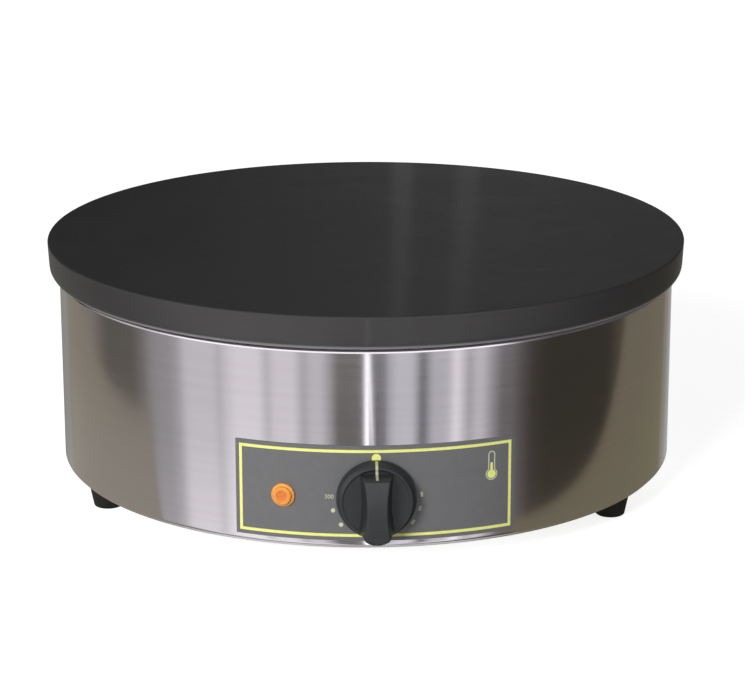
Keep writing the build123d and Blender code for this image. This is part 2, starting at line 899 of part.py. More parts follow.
def grip_outline(height, flare):
    """The grip's outline at a height: a straight brow, waisted flanks and a blunt nose."""
    top = grip_top_reach + flare * grip_brow_flare
    nose, turn = -grip_nose_tip - flare * grip_nose_flare, -grip_nose_reach
    top_half, waist_half = grip_top_width / 2 + flare, grip_waist_width / 2 + flare
    nose_half = grip_nose_width / 2 + flare
    flank = (top + turn) / 2
    outline = make_face(
        Curve()
        + [
            Line((-top_half, top), (top_half, top)),
            ThreePointArc((top_half, top), (waist_half, flank), (nose_half, turn)),
            ThreePointArc((nose_half, turn), (0, nose), (-nose_half, turn)),
            ThreePointArc((-nose_half, turn), (-waist_half, flank), (-top_half, top)),
        ]
    )
    outline = fillet([v for v in outline.vertices() if v.Y < 0], grip_nose_round)
    return Pos(0, 0, height) * outline


def knob_grip():
    """The grip bar: flared at its foot, with a front that slopes back at the brow and the nose."""
    foot_z = dish_face - past
    bar = loft([grip_outline(foot_z, grip_flare), grip_outline(grip_front + past, 0.0)])
    brow = grip_top_reach + grip_flare
    nose = -knob_radius - grip_flare
    side = make_face(
        Curve()
        + [
            Line((foot_z - past, brow), (grip_front - grip_brow, brow)),
            ThreePointArc(
                (grip_front - grip_brow, brow), (grip_front, grip_crest), (grip_front - grip_nose_drop, nose)
            ),
            Line((grip_front - grip_nose_drop, nose), (foot_z - past, nose)),
            Line((foot_z - past, nose), (foot_z - past, brow)),
        ]
    )
    # The side view is drawn with its x outwards and its y up, then stood across the bar.
    across = Plane(origin=(-knob_radius, 0, 0), x_dir=(0, 0, 1), z_dir=(1, 0, 0)).location
    envelope = across * Rot(180, 0, 0) * extrude(side, -2 * knob_radius)
    bar = bar & envelope
    front_edges = [e for e in bar.edges() if e.center().Z > foot_z + grip_round_start]
    return fillet(front_edges, grip_edge_round)


def pointer_strip(inset):
    """The pointer's strip up the skirt's side, over its face and up the grip's brow.

    It is let in by the depth, and drawn in by an inset on every side that the knob hides.
    """
    strip = Pos(0, grip_top_reach - past, pointer_low + inset) * Box(
        pointer_width - 2 * inset,
        knob_radius,
        pointer_high - pointer_low - 2 * inset,
        align=(Align.CENTER, Align.MIN, Align.MIN),
    )
    body = knob_skirt() + knob_grip()
    sink = pointer_depth - inset
    return (strip & body) - Pos(0, -sink, -sink) * body


def knob():
    """The moulded knob: skirt, grip and hub, hollow at the back and bored for the shaft."""
    body = knob_skirt() + knob_grip()
    cavity = ring(knob_rim_radius - knob_wall, knob_hub_radius, knob_lift - past, dish_face - knob_wall)
    hub_top = knob_lift + knob_hub_depth
    bore = ring(shaft_radius + fit, 0, knob_lift - past, hub_top + fit)
    key_start = hub_top - shaft_flat_length + hole_gap
    key = Pos(0, shaft_radius - shaft_flat + fit, key_start) * Box(
        3 * shaft_radius, shaft_radius, shaft_flat_length, align=(Align.CENTER, Align.MIN, Align.MIN)
    )
    body = body - cavity - (bore - key)
    return wall_frame(0.0, control_height) * (body - pointer_strip(0.0))


def knob_pointer():
    """The pale line let into the knob."""
    return wall_frame(0.0, control_height) * pointer_strip(fit)


# ---- Terminal block, earth stud and cable gland

block_screw_places = [(block_x + side * (block_length / 2 - block_screw_inset), block_y) for side in (-1, 1)]
block_bottom = drum_bottom
block_top = block_bottom + block_height
block_way_height = block_bottom + block_way_lift
way_offsets = (-block_way_pitch, 0.0, block_way_pitch)


def along_y(radius, y_low, y_high, x, z):
    """A cylinder along +Y between two values of y."""
    rod = Cylinder(radius, y_high - y_low, align=(Align.CENTER, Align.CENTER, Align.MAX))
    return Pos(x, y_low, z) * Rot(90, 0, 0) * rod


def terminal_block():
    """The supply terminal block: three ways, with a screw hole over each and one at each end."""
    block = Pos(block_x, block_y, block_bottom) * Box(
        block_length, block_width, block_height, align=(Align.CENTER, Align.CENTER, Align.MIN)
    )
    block = fillet(block.edges().filter_by(Axis.Z), block_corner_round)
    low, high = block_y - block_width / 2, block_y + block_width / 2
    for offset in way_offsets:
        x = block_x + offset
        block -= along_y(block_way_radius + fit, low - past, high + past, x, block_way_height)
        clamp_bore = ring(block_clamp_radius + fit, 0, block_way_height, block_top + past)
        block -= Pos(x, block_y, 0) * clamp_bore
    for x, y in block_screw_places:
        screw_bore = ring(small_screw_radius + fit, 0, block_bottom - past, block_top + past)
        block -= Pos(x, y, 0) * screw_bore
    return block


def terminal_inserts():
    """The brass tubes in the block's three ways."""
    reach = block_width / 2 - insert_sunk
    low, high = block_y - reach, block_y + reach
    inserts = []
    for offset in way_offsets:
        x = block_x + offset
        tube = along_y(block_way_radius, low, high, x, block_way_height)
        tube -= along_y(lead_radius + fit, low - past, high + past, x, block_way_height)
        bore = ring(block_clamp_radius + fit, 0, block_way_height, block_top)
        inserts.append(tube - Pos(x, block_y, 0) * bore)
    return group(inserts)


def terminal_screws():
    """The clamping screws over the three ways."""
    low = block_way_height + lead_radius + face_gap
    high = block_top - block_screw_sunk
    head = ring(block_clamp_radius, 0, low, high)
    slot = Pos(0, 0, high) * Box(block_screw_slot, 4 * block_clamp_radius, 2 * block_screw_slot)
    return group([Pos(block_x + offset, block_y, 0) * (head - slot) for offset in way_offsets])


def block_screws():
    """The two screws that hold the terminal block from under the base plate."""
    screw = pan_screw(small_screw_radius, base_bottom, block_bottom + block_screw_reach)
    return group([Pos(x, y, 0) * screw for x, y in block_screw_places])


def earth_stud():
    """The earthing stud through the base plate."""
    return Pos(earth_x, block_y, 0) * pan_screw(earth_stud_radius, base_bottom, drum_bottom + earth_length)


def earth_nut():
    """The nut that holds the earthing stud."""
    nut = hex_nut(foot_nut_flats, foot_nut_height, earth_stud_radius + fit, drum_bottom)
    return Pos(earth_x, block_y, 0) * nut


gland = wall_frame(180.0, gland_centre_height)
gland_seat = face_gap
gland_collar_top = gland_seat + gland_hex_height
gland_thread_end = gland_collar_top + gland_thread_reach
gland_outer_radius = gland_thread_radius - gland_thread_step
seal_bottom = gland_thread_end - gland_seal_sunk
seal_top = seal_bottom + gland_seal_length
nut_sag = gland_flats**2 / 6 / drum_inner
lock_top = -drum_wall - nut_sag - face_gap


def gland_body():
    """The gland's body: a hexagon collar, a thread inwards and a thread outwards."""
    collar = hex_nut(gland_flats, gland_hex_height, gland_bore_radius, gland_seat)
    inner = ring(gland_thread_radius, gland_bore_radius, -gland_inner_length, gland_seat + past)
    outer = ring(gland_outer_radius, gland_bore_radius, gland_collar_top - past, gland_thread_end)
    return gland * (collar + inner + outer)


def gland_seal():
    """The rubber ring that grips the cable."""
    return gland * ring(gland_bore_radius - fit, cable_bore_radius, seal_bottom, seal_top)


def gland_dome_nut():
    """The domed nut that closes the gland on its seal."""
    low = gland_collar_top + face_gap
    high = gland_reach
    outer = gland_flats / 2
    thread = gland_outer_radius + fit
    seat = gland_bore_radius + fit
    outline = [
        (thread, low),
        (outer, low),
        (outer, (low + high) / 2),
        (gland_crown_radius, high),
        (gland_dome_bore_radius, high),
        (gland_dome_bore_radius, seal_top + fit),
        (seat, seal_top + fit),
        (seat, gland_thread_end + fit),
        (thread, gland_thread_end + fit),
    ]
    soft = gland_flute_radius / 2
    nut = turned(outline, [0.0, soft, 6 * soft, 2 * soft, soft, 0.0, 0.0, 0.0, 0.0])
    flute = ring(gland_flute_radius, 0, low - past, high - (high - low) / 4)
    for i in range(gland_flute_count):
        turn = i * 360.0 / gland_flute_count
        nut -= Rot(0, 0, turn) * Pos(outer + soft, 0, 0) * flute
    return gland * nut


def gland_lock_nut():
    """The lock nut behind the wall."""
    low = lock_top - gland_nut_height
    return gland * hex_nut(gland_flats, gland_nut_height, gland_thread_radius + fit, low)


# ---- Links and leads

link_top = leg_end - bead_height - face_gap
link_bottom = link_top - link_thickness
link_middle = (all_legs[0][1] + all_legs[2][1]) / 2


def element_links():
    """The flat bars that join the two loops' pins on each side."""
    links = []
    for outer_leg, inner_leg in zip(all_legs[:2], all_legs[2:]):
        length = outer_leg[1] - inner_leg[1] + link_width
        width = link_width + abs(outer_leg[0] - inner_leg[0])
        bar = Box(width, length, link_thickness, align=(Align.CENTER, Align.CENTER, Align.MAX))
        link = Pos((outer_leg[0] + inner_leg[0]) / 2, link_middle, link_top) * bar
        for x, y in (outer_leg, inner_leg):
            link -= Pos(x, y, 0) * ring(pin_radius + fit, 0, link_bottom - past, link_top + past)
        links.append(link)
    return group(links)


def pin_nuts():
    """The nuts that press the links up on their pins."""
    nut = hex_nut(pin_nut_flats, pin_nut_height, pin_radius + fit, link_bottom - pin_nut_height)
    return group(on_legs(nut))


def lead(points):
    """An insulated lead through its points, each bend as wide as its two runs allow."""
    corners = [Vector(*point) for point in points]
    radii = []
    for before, corner, after in zip(corners, corners[1:], corners[2:]):
        shorter = min((corner - before).length, (after - corner).length)
        turn = math.radians((corner - before).get_angle(after - corner))
        radii.append(lead_bend_share * shorter / math.tan(turn / 2))
    return bent_tube(lead_radius, points, radii)


def way_end(index):
    """Where a lead ends inside one of the terminal block's ways, from the front."""
    return block_x + way_offsets[index], block_y - lead_strip / 2, block_way_height


def tab_end(side):
    """The end of the thermostat's left (-1) or right (1) tab."""
    y = -(thermostat_back - thermostat_tab_length) + face_gap
    return side * thermostat_tab_pitch / 2, y, control_height


def link_end(side):
    """The middle of the underside of the left (-1) or right (1) link."""
    x = (all_legs[1][0] + all_legs[3][0]) / 2
    return side * x, link_middle, link_bottom - face_gap


def live_lead():
    """The lead from the terminal block's first way to the thermostat's left tab."""
    x, y, z = way_end(0)
    end = tab_end(-1)
    low = drum_bottom + lead_rest
    middle = [
        (x, y - 42, z),
        (x - 14, y - 100, low),
        (x - 8, end[1] + 89, low + 1),
        (end[0] - 21, end[1] + 39, low + 13),
    ]
    return lead([(x, y, z), *middle, (end[0], end[1] + 17, end[2]), end])


def switched_lead():
    """The lead from the thermostat's right tab to the right link."""
    start = tab_end(1)
    end = link_end(1)
    low = drum_bottom + lead_rest
    middle = [
        (start[0] + 31, start[1] + 39, low + 10),
        (start[0] + 87, start[1] + 67, low + 2),
        (start[0] + 111, start[1] + 121, low),
        (end[0] + 101, end[1] - 73, low),
        (end[0] + 63, end[1] - 21, low + 12),
    ]
    foot = [(end[0] + 16, end[1] + 4, low + 30), (end[0], end[1], end[2] - 16)]
    return lead([start, (start[0], start[1] + 17, start[2]), *middle, *foot, end])


def neutral_lead():
    """The lead from the terminal block's second way to the left link."""
    x, y, z = way_end(1)
    end = link_end(-1)
    middle = [(x, y - 24, z), (x + 4, y - 32, z + 20), (end[0] - 4, end[1] - 8, z + 34)]
    return lead([(x, y, z), *middle, (end[0], end[1], end[2] - 11), end])


def earth_lead():
    """The lead from the terminal block's third way to the earthing nut."""
    x, y, z = way_end(2)
    end = (earth_x, block_y - foot_nut_flats / 2 - face_gap, drum_bottom + foot_nut_height / 2)
    middle = [(x, y - 26, z), (x + 14, y - 42, z - 1), (x + 34, y - 42, z - 4)]
    return lead([(x, y, z), *middle, (end[0], end[1] - 20, end[2]), end])


def lamp_tab_end(side, inwards=0.0):
    """The end of one of the lamp's tabs, or a point further in from it."""
    depth = lamp_barrel_end - lamp_tab_length - face_gap - inwards
    place = wall_frame(lamp_angle, control_height) * Pos(side * lamp_tab_pitch / 2, 0, depth)
    return tuple(place.position)


def lamp_leads():
    """The lamp's two leads: one to the thermostat's right tab, one to the terminal block."""
    tab = tab_end(1)
    under_tab = (tab[0], tab[1] - thermostat_tab_length / 2, tab[2] - thermostat_tab_width / 2 - face_gap)
    first = lead(
        [
            lamp_tab_end(1),
            lamp_tab_end(1, 14),
            (tab[0] - 29, tab[1] + 14, control_height - 11),
            (tab[0] - 8, under_tab[1] + 4, control_height - 19),
            (tab[0], under_tab[1], under_tab[2] - 10),
            under_tab,
        ]
    )
    back_x, back_z = block_x + way_offsets[1], block_way_height
    low, lamp_y = drum_bottom + lead_rest, lamp_tab_end(-1)[1]
    second = lead(
        [
            lamp_tab_end(-1),
            lamp_tab_end(-1, 20),
            (back_x - 40, lamp_y + 75, low + 9.5),
            (back_x - 58, lamp_y + 143, low + 0.5),
            (back_x - 54, block_y - 51, low - 0.5),
            (back_x - 38, block_y + 7, low - 0.5),
            (back_x - 12, block_y + 31, low + 1.5),
            (back_x, block_y + 23, back_z),
            (back_x, block_y + lead_strip / 2, back_z),
        ]
    )
    return group([first, second])


# ---- Export

parts = {
    "griddle_plate": griddle_plate(),
    "plate_studs": plate_studs(),
    "plate_spacers": plate_spacers(),
    "plate_washers": plate_washers(),
    "plate_nuts": plate_nuts(),
    "outer_heating_element": heating_element(outer_loop_radius),
    "inner_heating_element": heating_element(inner_loop_radius),
    "element_beads": element_beads(),
    "element_pins": element_pins(),
    "element_clamp": element_clamp(),
    "clamp_stud": clamp_stud(),
    "clamp_washer": clamp_washer(),
    "clamp_nut": clamp_nut(),
    "insulation_disc": insulation_disc(),
    "heat_shield": heat_shield(),
    "drum": drum(),
    "base_plate": base_plate(),
    "foot_washers": foot_washers(),
    "foot_screws": foot_screws(),
    "foot_nuts": foot_nuts(),
    "base_screws": base_screws(),
    "base_nuts": base_nuts(),
    "control_label": control_label(),
    "pilot_lamp_lens": pilot_lamp_lens(),
    "pilot_lamp_body": pilot_lamp_body(),
    "pilot_lamp_clip": pilot_lamp_clip(),
    "thermostat_bracket": thermostat_bracket(),
    "thermostat_body": thermostat_body(),
    "thermostat_screws": thermostat_screws(),
    "thermostat_shaft": thermostat_shaft(),
    "capillary_tube": capillary_tube(),
    "sensing_bulb": sensing_bulb(),
    "bulb_saddle": bulb_saddle(),
    "knob": knob(),
    "knob_pointer": knob_pointer(),
    "terminal_block": terminal_block(),
    "terminal_inserts": terminal_inserts(),
    "terminal_screws": terminal_screws(),
    "block_screws": block_screws(),
    "earth_stud": earth_stud(),
    "earth_nut": earth_nut(),
    "element_links": element_links(),
    "pin_nuts": pin_nuts(),
    "live_lead": live_lead(),
    "switched_lead": switched_lead(),
    "neutral_lead": neutral_lead(),
    "earth_lead": earth_lead(),
    "lamp_leads": lamp_leads(),
    "gland_body": gland_body(),
    "gland_seal": gland_seal(),
    "gland_dome_nut": gland_dome_nut(),
    "gland_lock_nut": gland_lock_nut(),
}
for name, angle in zip(foot_names, foot_angles):
    parts[name] = Pos(*around(foot_circle, angle), 0) * foot()

os.makedirs("parts", exist_ok=True)
for name, piece in parts.items():
    export_step(piece, f"parts/{name}.step")
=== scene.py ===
"""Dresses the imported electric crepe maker: griddle plate, casing, label, lamp, knob, feet and gland.

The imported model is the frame: each piece takes its place and its main size from the nodes' boxes.
Lengths are in metres, angles in degrees. +Z is up, the control label faces -Y, and bearings round
the drum are counted from -Y, positive towards +X.
"""

import logging
import math
from contextlib import contextmanager
from dataclasses import dataclass, field, replace
from enum import Enum
from functools import cache
from typing import Callable, Iterator, Sequence

import bmesh
import bpy
from mathutils import Matrix, Vector


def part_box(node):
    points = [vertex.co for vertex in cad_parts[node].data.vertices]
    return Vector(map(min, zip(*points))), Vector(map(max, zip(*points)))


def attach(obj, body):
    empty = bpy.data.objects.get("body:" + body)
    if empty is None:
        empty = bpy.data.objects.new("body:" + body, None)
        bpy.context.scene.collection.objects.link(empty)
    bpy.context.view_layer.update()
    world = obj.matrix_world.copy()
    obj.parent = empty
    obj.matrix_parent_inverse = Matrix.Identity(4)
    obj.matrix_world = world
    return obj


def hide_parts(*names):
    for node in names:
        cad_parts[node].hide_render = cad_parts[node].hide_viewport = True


log = logging.getLogger("crepe_maker")
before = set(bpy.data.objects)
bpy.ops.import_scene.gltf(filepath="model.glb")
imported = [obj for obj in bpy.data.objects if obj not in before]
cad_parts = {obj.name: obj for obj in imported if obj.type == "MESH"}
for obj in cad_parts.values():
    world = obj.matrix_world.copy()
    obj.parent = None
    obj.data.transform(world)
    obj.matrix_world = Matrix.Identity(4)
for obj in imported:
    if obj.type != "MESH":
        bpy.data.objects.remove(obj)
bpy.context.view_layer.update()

MM = 0.001
# Points nearer than MERGE become one point, and cutters reach PAST beyond what they cut.
MERGE = 0.002 * MM
PAST = 1.0 * MM
SMOOTH_ANGLE = 32.0
DRILL_SIDES = 32
FINE_SIDES = 256
STUD_CIRCLE = 177.0 * MM
STUD_BEARINGS = (45.0, 135.0, 225.0, 315.0)

Piece = bpy.types.Object
Socket = bpy.types.NodeSocket
Colour = tuple[float, float, float]
Point = tuple[float, float]
Corner = tuple[float, float, float]


class Body(Enum):
    """The bodies that pieces ride on."""

    HOUSING = "housing"
    KNOB = "thermostat_knob"


class Cut(Enum):
    """What a boolean does with its second piece."""

    TAKE_AWAY = "DIFFERENCE"
    ADD = "UNION"
    KEEP_COMMON = "INTERSECT"


class Grain(Enum):
    """Which way the lines of a brushed or turned surface run."""

    ROUND_THE_DRUM = "round"
    ALONG_X = "along"


# ---- Bench work: picking, shaping, joining


def only(piece: Piece) -> Piece:
    """Makes a piece the only selected and the active one.

    Args:
        piece: the piece to work on.

    Returns:
        The same piece.
    """
    bpy.ops.object.select_all(action="DESELECT")
    piece.select_set(True)
    bpy.context.view_layer.objects.active = piece
    return piece


@contextmanager
def editing(piece: Piece) -> Iterator[None]:
    """Keeps a piece in edit mode for the length of a with block.

    Args:
        piece: the piece to edit.
    """
    only(piece)
    bpy.ops.object.mode_set(mode="EDIT")
    yield
    bpy.ops.object.mode_set(mode="OBJECT")


def pick(piece: Piece, kind: str, test: Callable[[Vector], bool]) -> None:
    """Selects, in edit mode, the edges or faces whose middle passes a test.

    Args:
        piece: the piece in edit mode.
        kind: EDGE or FACE.
        test: takes the middle of an edge or face and says whether it is wanted.
    """
    bpy.ops.mesh.select_mode(type=kind)
    bpy.ops.mesh.select_all(action="DESELECT")
    mesh = bmesh.from_edit_mesh(piece.data)
    if kind == "EDGE":
        for edge in mesh.edges:
            edge.select_set(test((edge.verts[0].co + edge.verts[1].co) / 2))
    else:
        for face in mesh.faces:
            face.select_set(test(face.calc_center_median()))
    bmesh.update_edit_mesh(piece.data)


def named(piece: Piece, name: str) -> Piece:
    """Names a piece and its mesh, and returns the piece."""
    piece.name = piece.data.name = name
    return piece


def applied(piece: Piece, kind: str, **settings: object) -> Piece:
    """Adds a modifier to a piece and applies it.

    Args:
        piece: the piece to change.
        kind: the modifier's type.
        settings: the modifier's values by name.

    Returns:
        The same piece.
    """
    only(piece)
    modifier = piece.modifiers.new("finish", kind)
    for key, value in settings.items():
        setattr(modifier, key, value)
    bpy.ops.object.modifier_apply(modifier=modifier.name)
    return piece


def combined(piece: Piece, tool: Piece, cut: Cut) -> Piece:
    """Cuts a piece with another, or joins the two, and clears the second away.

    Args:
        piece: the piece to keep.
        tool: the piece that cuts or is added.
        cut: what is done with it.

    Returns:
        The first piece.
    """
    applied(piece, "BOOLEAN", object=tool, operation=cut.value, solver="EXACT")
    bpy.data.objects.remove(tool)
    return piece


def gathered(pieces: Sequence[Piece]) -> Piece:
    """Joins several pieces into one mesh, without cutting them.

    Args:
        pieces: the pieces to join.

    Returns:
        The first piece, which now holds them all.
    """
    only(pieces[0])
    for piece in pieces[1:]:
        piece.select_set(True)
    bpy.ops.object.join()
    return bpy.context.object


def placed(piece: Piece, place: Matrix) -> Piece:
    """Moves a piece's mesh by a matrix, so that its object stays at the origin."""
    piece.data.transform(place)
    return piece


def copied(piece: Piece) -> Piece:
    """Copies a piece with its mesh.

    Args:
        piece: the piece to copy.

    Returns:
        The copy, linked to the scene.
    """
    twin = piece.copy()
    twin.data = piece.data.copy()
    bpy.context.scene.collection.objects.link(twin)
    return twin


def outwards(piece: Piece) -> Piece:
    """Turns the faces of a closed piece outwards.

    Args:
        piece: the piece to change.

    Returns:
        The same piece.
    """
    with editing(piece):
        bpy.ops.mesh.select_all(action="SELECT")
        bpy.ops.mesh.normals_make_consistent(inside=False)
    return piece


def softened(corners: Sequence[Corner], steps: int) -> list[Point]:
    """Turns corners with a rounding into the points of an open outline.

    Args:
        corners: (across, up, rounding) of each corner, in order.
        steps: how many short runs make a quarter turn.

    Returns:
        The outline's points, each rounded corner replaced by its arc.
    """
    points: list[Point] = []
    for i, (across, up, rounding) in enumerate(corners):
        here = Vector((across, up))
        if rounding <= 0 or i in (0, len(corners) - 1):
            points.append((across, up))
            continue
        before = (Vector(corners[i - 1][:2]) - here).normalized()
        after = (Vector(corners[i + 1][:2]) - here).normalized()
        half = before.angle(after) / 2
        middle = here + (before + after).normalized() * rounding / math.sin(half)
        start = here + before * rounding / math.tan(half) - middle
        turn = start.angle_signed(here + after * rounding / math.tan(half) - middle)
        count = max(2, round(steps * abs(turn) / (math.pi / 2)))
        for step in range(count + 1):
            arm = start.copy()
            arm.rotate(Matrix.Rotation(-turn * step / count, 2))
            points.append(tuple(middle + arm))
    return points


def turned(name: str, corners: Sequence[Corner], steps: int = 6, sides: int = 96) -> Piece:
    """Spins an outline of (radius, height, rounding) corners round the Z axis.

    The outline is drawn by extruding one vertex from point to point. One that doesn't start on the
    axis is closed back to its first corner.

    Args:
        name: the piece's name.
        corners: the outline's corners, in order.
        steps: how many short runs make a quarter turn of a rounded corner.
        sides: how many faces go round.

    Returns:
        The turned piece, with its faces outwards.
    """
    outline = softened([*corners, corners[0]] if corners[0][0] > 0 else corners, steps)
    bpy.ops.mesh.primitive_plane_add(size=1.0)
    piece = named(bpy.context.object, name)
    with editing(piece):
        bpy.ops.mesh.select_mode(type="VERT")
        bpy.ops.mesh.select_all(action="SELECT")
        bpy.ops.mesh.merge(type="CENTER")
        start = Vector((outline[0][0], 0, outline[0][1]))
        bpy.ops.transform.translate(value=start)
        for (across, up), (next_across, next_up) in zip(outline, outline[1:]):
            run = Vector((next_across - across, 0, next_up - up))
            bpy.ops.mesh.extrude_region_move(TRANSFORM_OT_translate={"value": run})
        bpy.ops.mesh.select_all(action="SELECT")
        bpy.ops.mesh.spin(steps=sides, angle=math.tau, center=(0, 0, 0), axis=(0, 0, 1))
        bpy.ops.mesh.select_all(action="SELECT")
        bpy.ops.mesh.remove_doubles(threshold=MERGE)
        bpy.ops.mesh.normals_make_consistent(inside=False)
    return piece


def slab(outline: Sequence[Point], low: float, high: float, top: Sequence[Point] | None = None) -> Piece:
    """Extrudes an outline of (x, y) points from one height to another.

    Args:
        outline: the outline's points, counter-clockwise.
        low: the height of its foot.
        high: the height of its top.
        top: the outline at the top, with as many points, where it differs.

    Returns:
        The closed slab.
    """
    bpy.ops.mesh.primitive_circle_add(vertices=len(outline), fill_type="NGON")
    piece = bpy.context.object
    for vertex, (x, y) in zip(piece.data.vertices, outline):
        vertex.co = (x, y, low)
    with editing(piece):
        bpy.ops.mesh.select_all(action="SELECT")
        bpy.ops.mesh.extrude_region_move(TRANSFORM_OT_translate={"value": (0, 0, high - low)})
    if top:
        for vertex, (x, y) in zip(piece.data.vertices[len(outline) :], top):
            vertex.co = (x, y, high)
    return outwards(piece)


def block(size: Sequence[float], middle: Sequence[float], rounding: float = 0.0) -> Piece:
    """A box with its upright edges rounded.

    Args:
        size: its length along each axis.
        middle: its middle.
        rounding: the radius of its upright edges.

    Returns:
        The box, with its place in its mesh.
    """
    bpy.ops.mesh.primitive_cube_add(size=1.0, location=middle, scale=size)
    bpy.ops.object.transform_apply(location=True, rotation=True, scale=True)
    piece = bpy.context.object
    if rounding > 0:
        quarter = size[2] / 4
        with editing(piece):
            pick(piece, "EDGE", lambda at: abs(at.z - middle[2]) < quarter)
            bpy.ops.mesh.bevel(offset=rounding, segments=8, affect="EDGES")
    return piece


def pin(radius: float, low: float, high: float, at: Point = (0.0, 0.0), sides: int = 48) -> Piece:
    """A cylinder along Z between two heights, for cutting or joining.

    Args:
        radius: its radius.
        low: its lower end.
        high: its upper end.
        at: the x and y of its axis.
        sides: how many faces go round.

    Returns:
        The cylinder, with its place in its mesh.
    """
    middle = (at[0], at[1], (low + high) / 2)
    bpy.ops.mesh.primitive_cylinder_add(vertices=sides, radius=radius, depth=high - low, location=middle)
    bpy.ops.object.transform_apply(location=True, rotation=True, scale=True)
    return bpy.context.object


def on_circle(radius: float, bearing: float) -> Point:
    """The x and y of a point at a radius and a bearing."""
    turn = math.radians(bearing)
    return radius * math.sin(turn), -radius * math.cos(turn)


def on_wall(radius: float, bearing: float, height: float) -> Matrix:
    """The place of a piece on the drum's wall: x along the wall, y up and z outwards.

    Args:
        radius: the wall's radius.
        bearing: the piece's bearing.
        height: its height above the counter.

    Returns:
        The matrix that takes the piece from the origin to the wall.
    """
    out = Vector((*on_circle(1.0, bearing), 0))
    along = Vector((*on_circle(1.0, bearing + 90.0), 0))
    turn = Matrix((along, Vector((0, 0, 1)), out)).transposed().to_4x4()
    return Matrix.Translation(out * radius + Vector((0, 0, height))) @ turn


def wrapped(piece: Piece, radius: float, height: float, measured_at: float) -> Piece:
    """Wraps a flat piece round the drum: x becomes an arc, y a height, z a distance from the wall.

    Args:
        piece: the flat piece.
        radius: the wall's radius.
        height: the height of the piece's middle.
        measured_at: the radius at which lengths along the arc are true.

    Returns:
        The same piece.
    """
    for vertex in piece.data.vertices:
        x, y, z = vertex.co
        turn = x / measured_at
        reach = radius + z
        vertex.co = (reach * math.sin(turn), -reach * math.cos(turn), height + y)
    return piece


def middle_of(node: str) -> Vector:
    """The middle of a CAD node's box."""
    low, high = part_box(node)
    return (low + high) / 2


def mid_height(node: str) -> float:
    """The height of the middle of a CAD node's box."""
    low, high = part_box(node)
    return (low.z + high.z) / 2


def bearing_of(at: Vector) -> float:
    """The bearing of a place."""
    return math.degrees(math.atan2(at.x, -at.y))


def eased(start: Point, corner: Point, end: Point, count: int) -> list[Point]:
    """Points inside a soft bend from one point to another that rounds off the corner between.

    Args:
        start: where the bend starts; not in the result.
        corner: the corner that it rounds off.
        end: where the bend ends; not in the result.
        count: how many points.

    Returns:
        The points in order.
    """
    a, b, c = Vector(start), Vector(corner), Vector(end)
    shares = [(i + 1) / (count + 1) for i in range(count)]
    return [tuple(a.lerp(b, share).lerp(b.lerp(c, share), share)) for share in shares]


def arc_points(start: Point, through: Point, end: Point, count: int) -> list[Point]:
    """Points along the arc through three given ones.

    Args:
        start: the arc's first point.
        through: a point on it.
        end: its last point.
        count: how many points, both ends included.

    Returns:
        The points in order.
    """
    a, b, c = Vector(start), Vector(through), Vector(end)
    side_b, side_c = b - a, c - a
    cross = side_b.cross(side_c)
    middle = a + Vector((
        (side_c.y * side_b.length_squared - side_b.y * side_c.length_squared) / (2 * cross),
        (side_b.x * side_c.length_squared - side_c.x * side_b.length_squared) / (2 * cross),
    ))
    arms = [point - middle for point in (a, b, c)]
    angles = [math.atan2(arm.y, arm.x) for arm in arms]
    sweep = (angles[2] - angles[0]) % math.tau
    if (angles[1] - angles[0]) % math.tau > sweep:
        sweep -= math.tau
    radius = arms[0].length
    turns = [angles[0] + sweep * i / (count - 1) for i in range(count)]
    return [(middle.x + radius * math.cos(turn), middle.y + radius * math.sin(turn)) for turn in turns]


# ---- Finishes


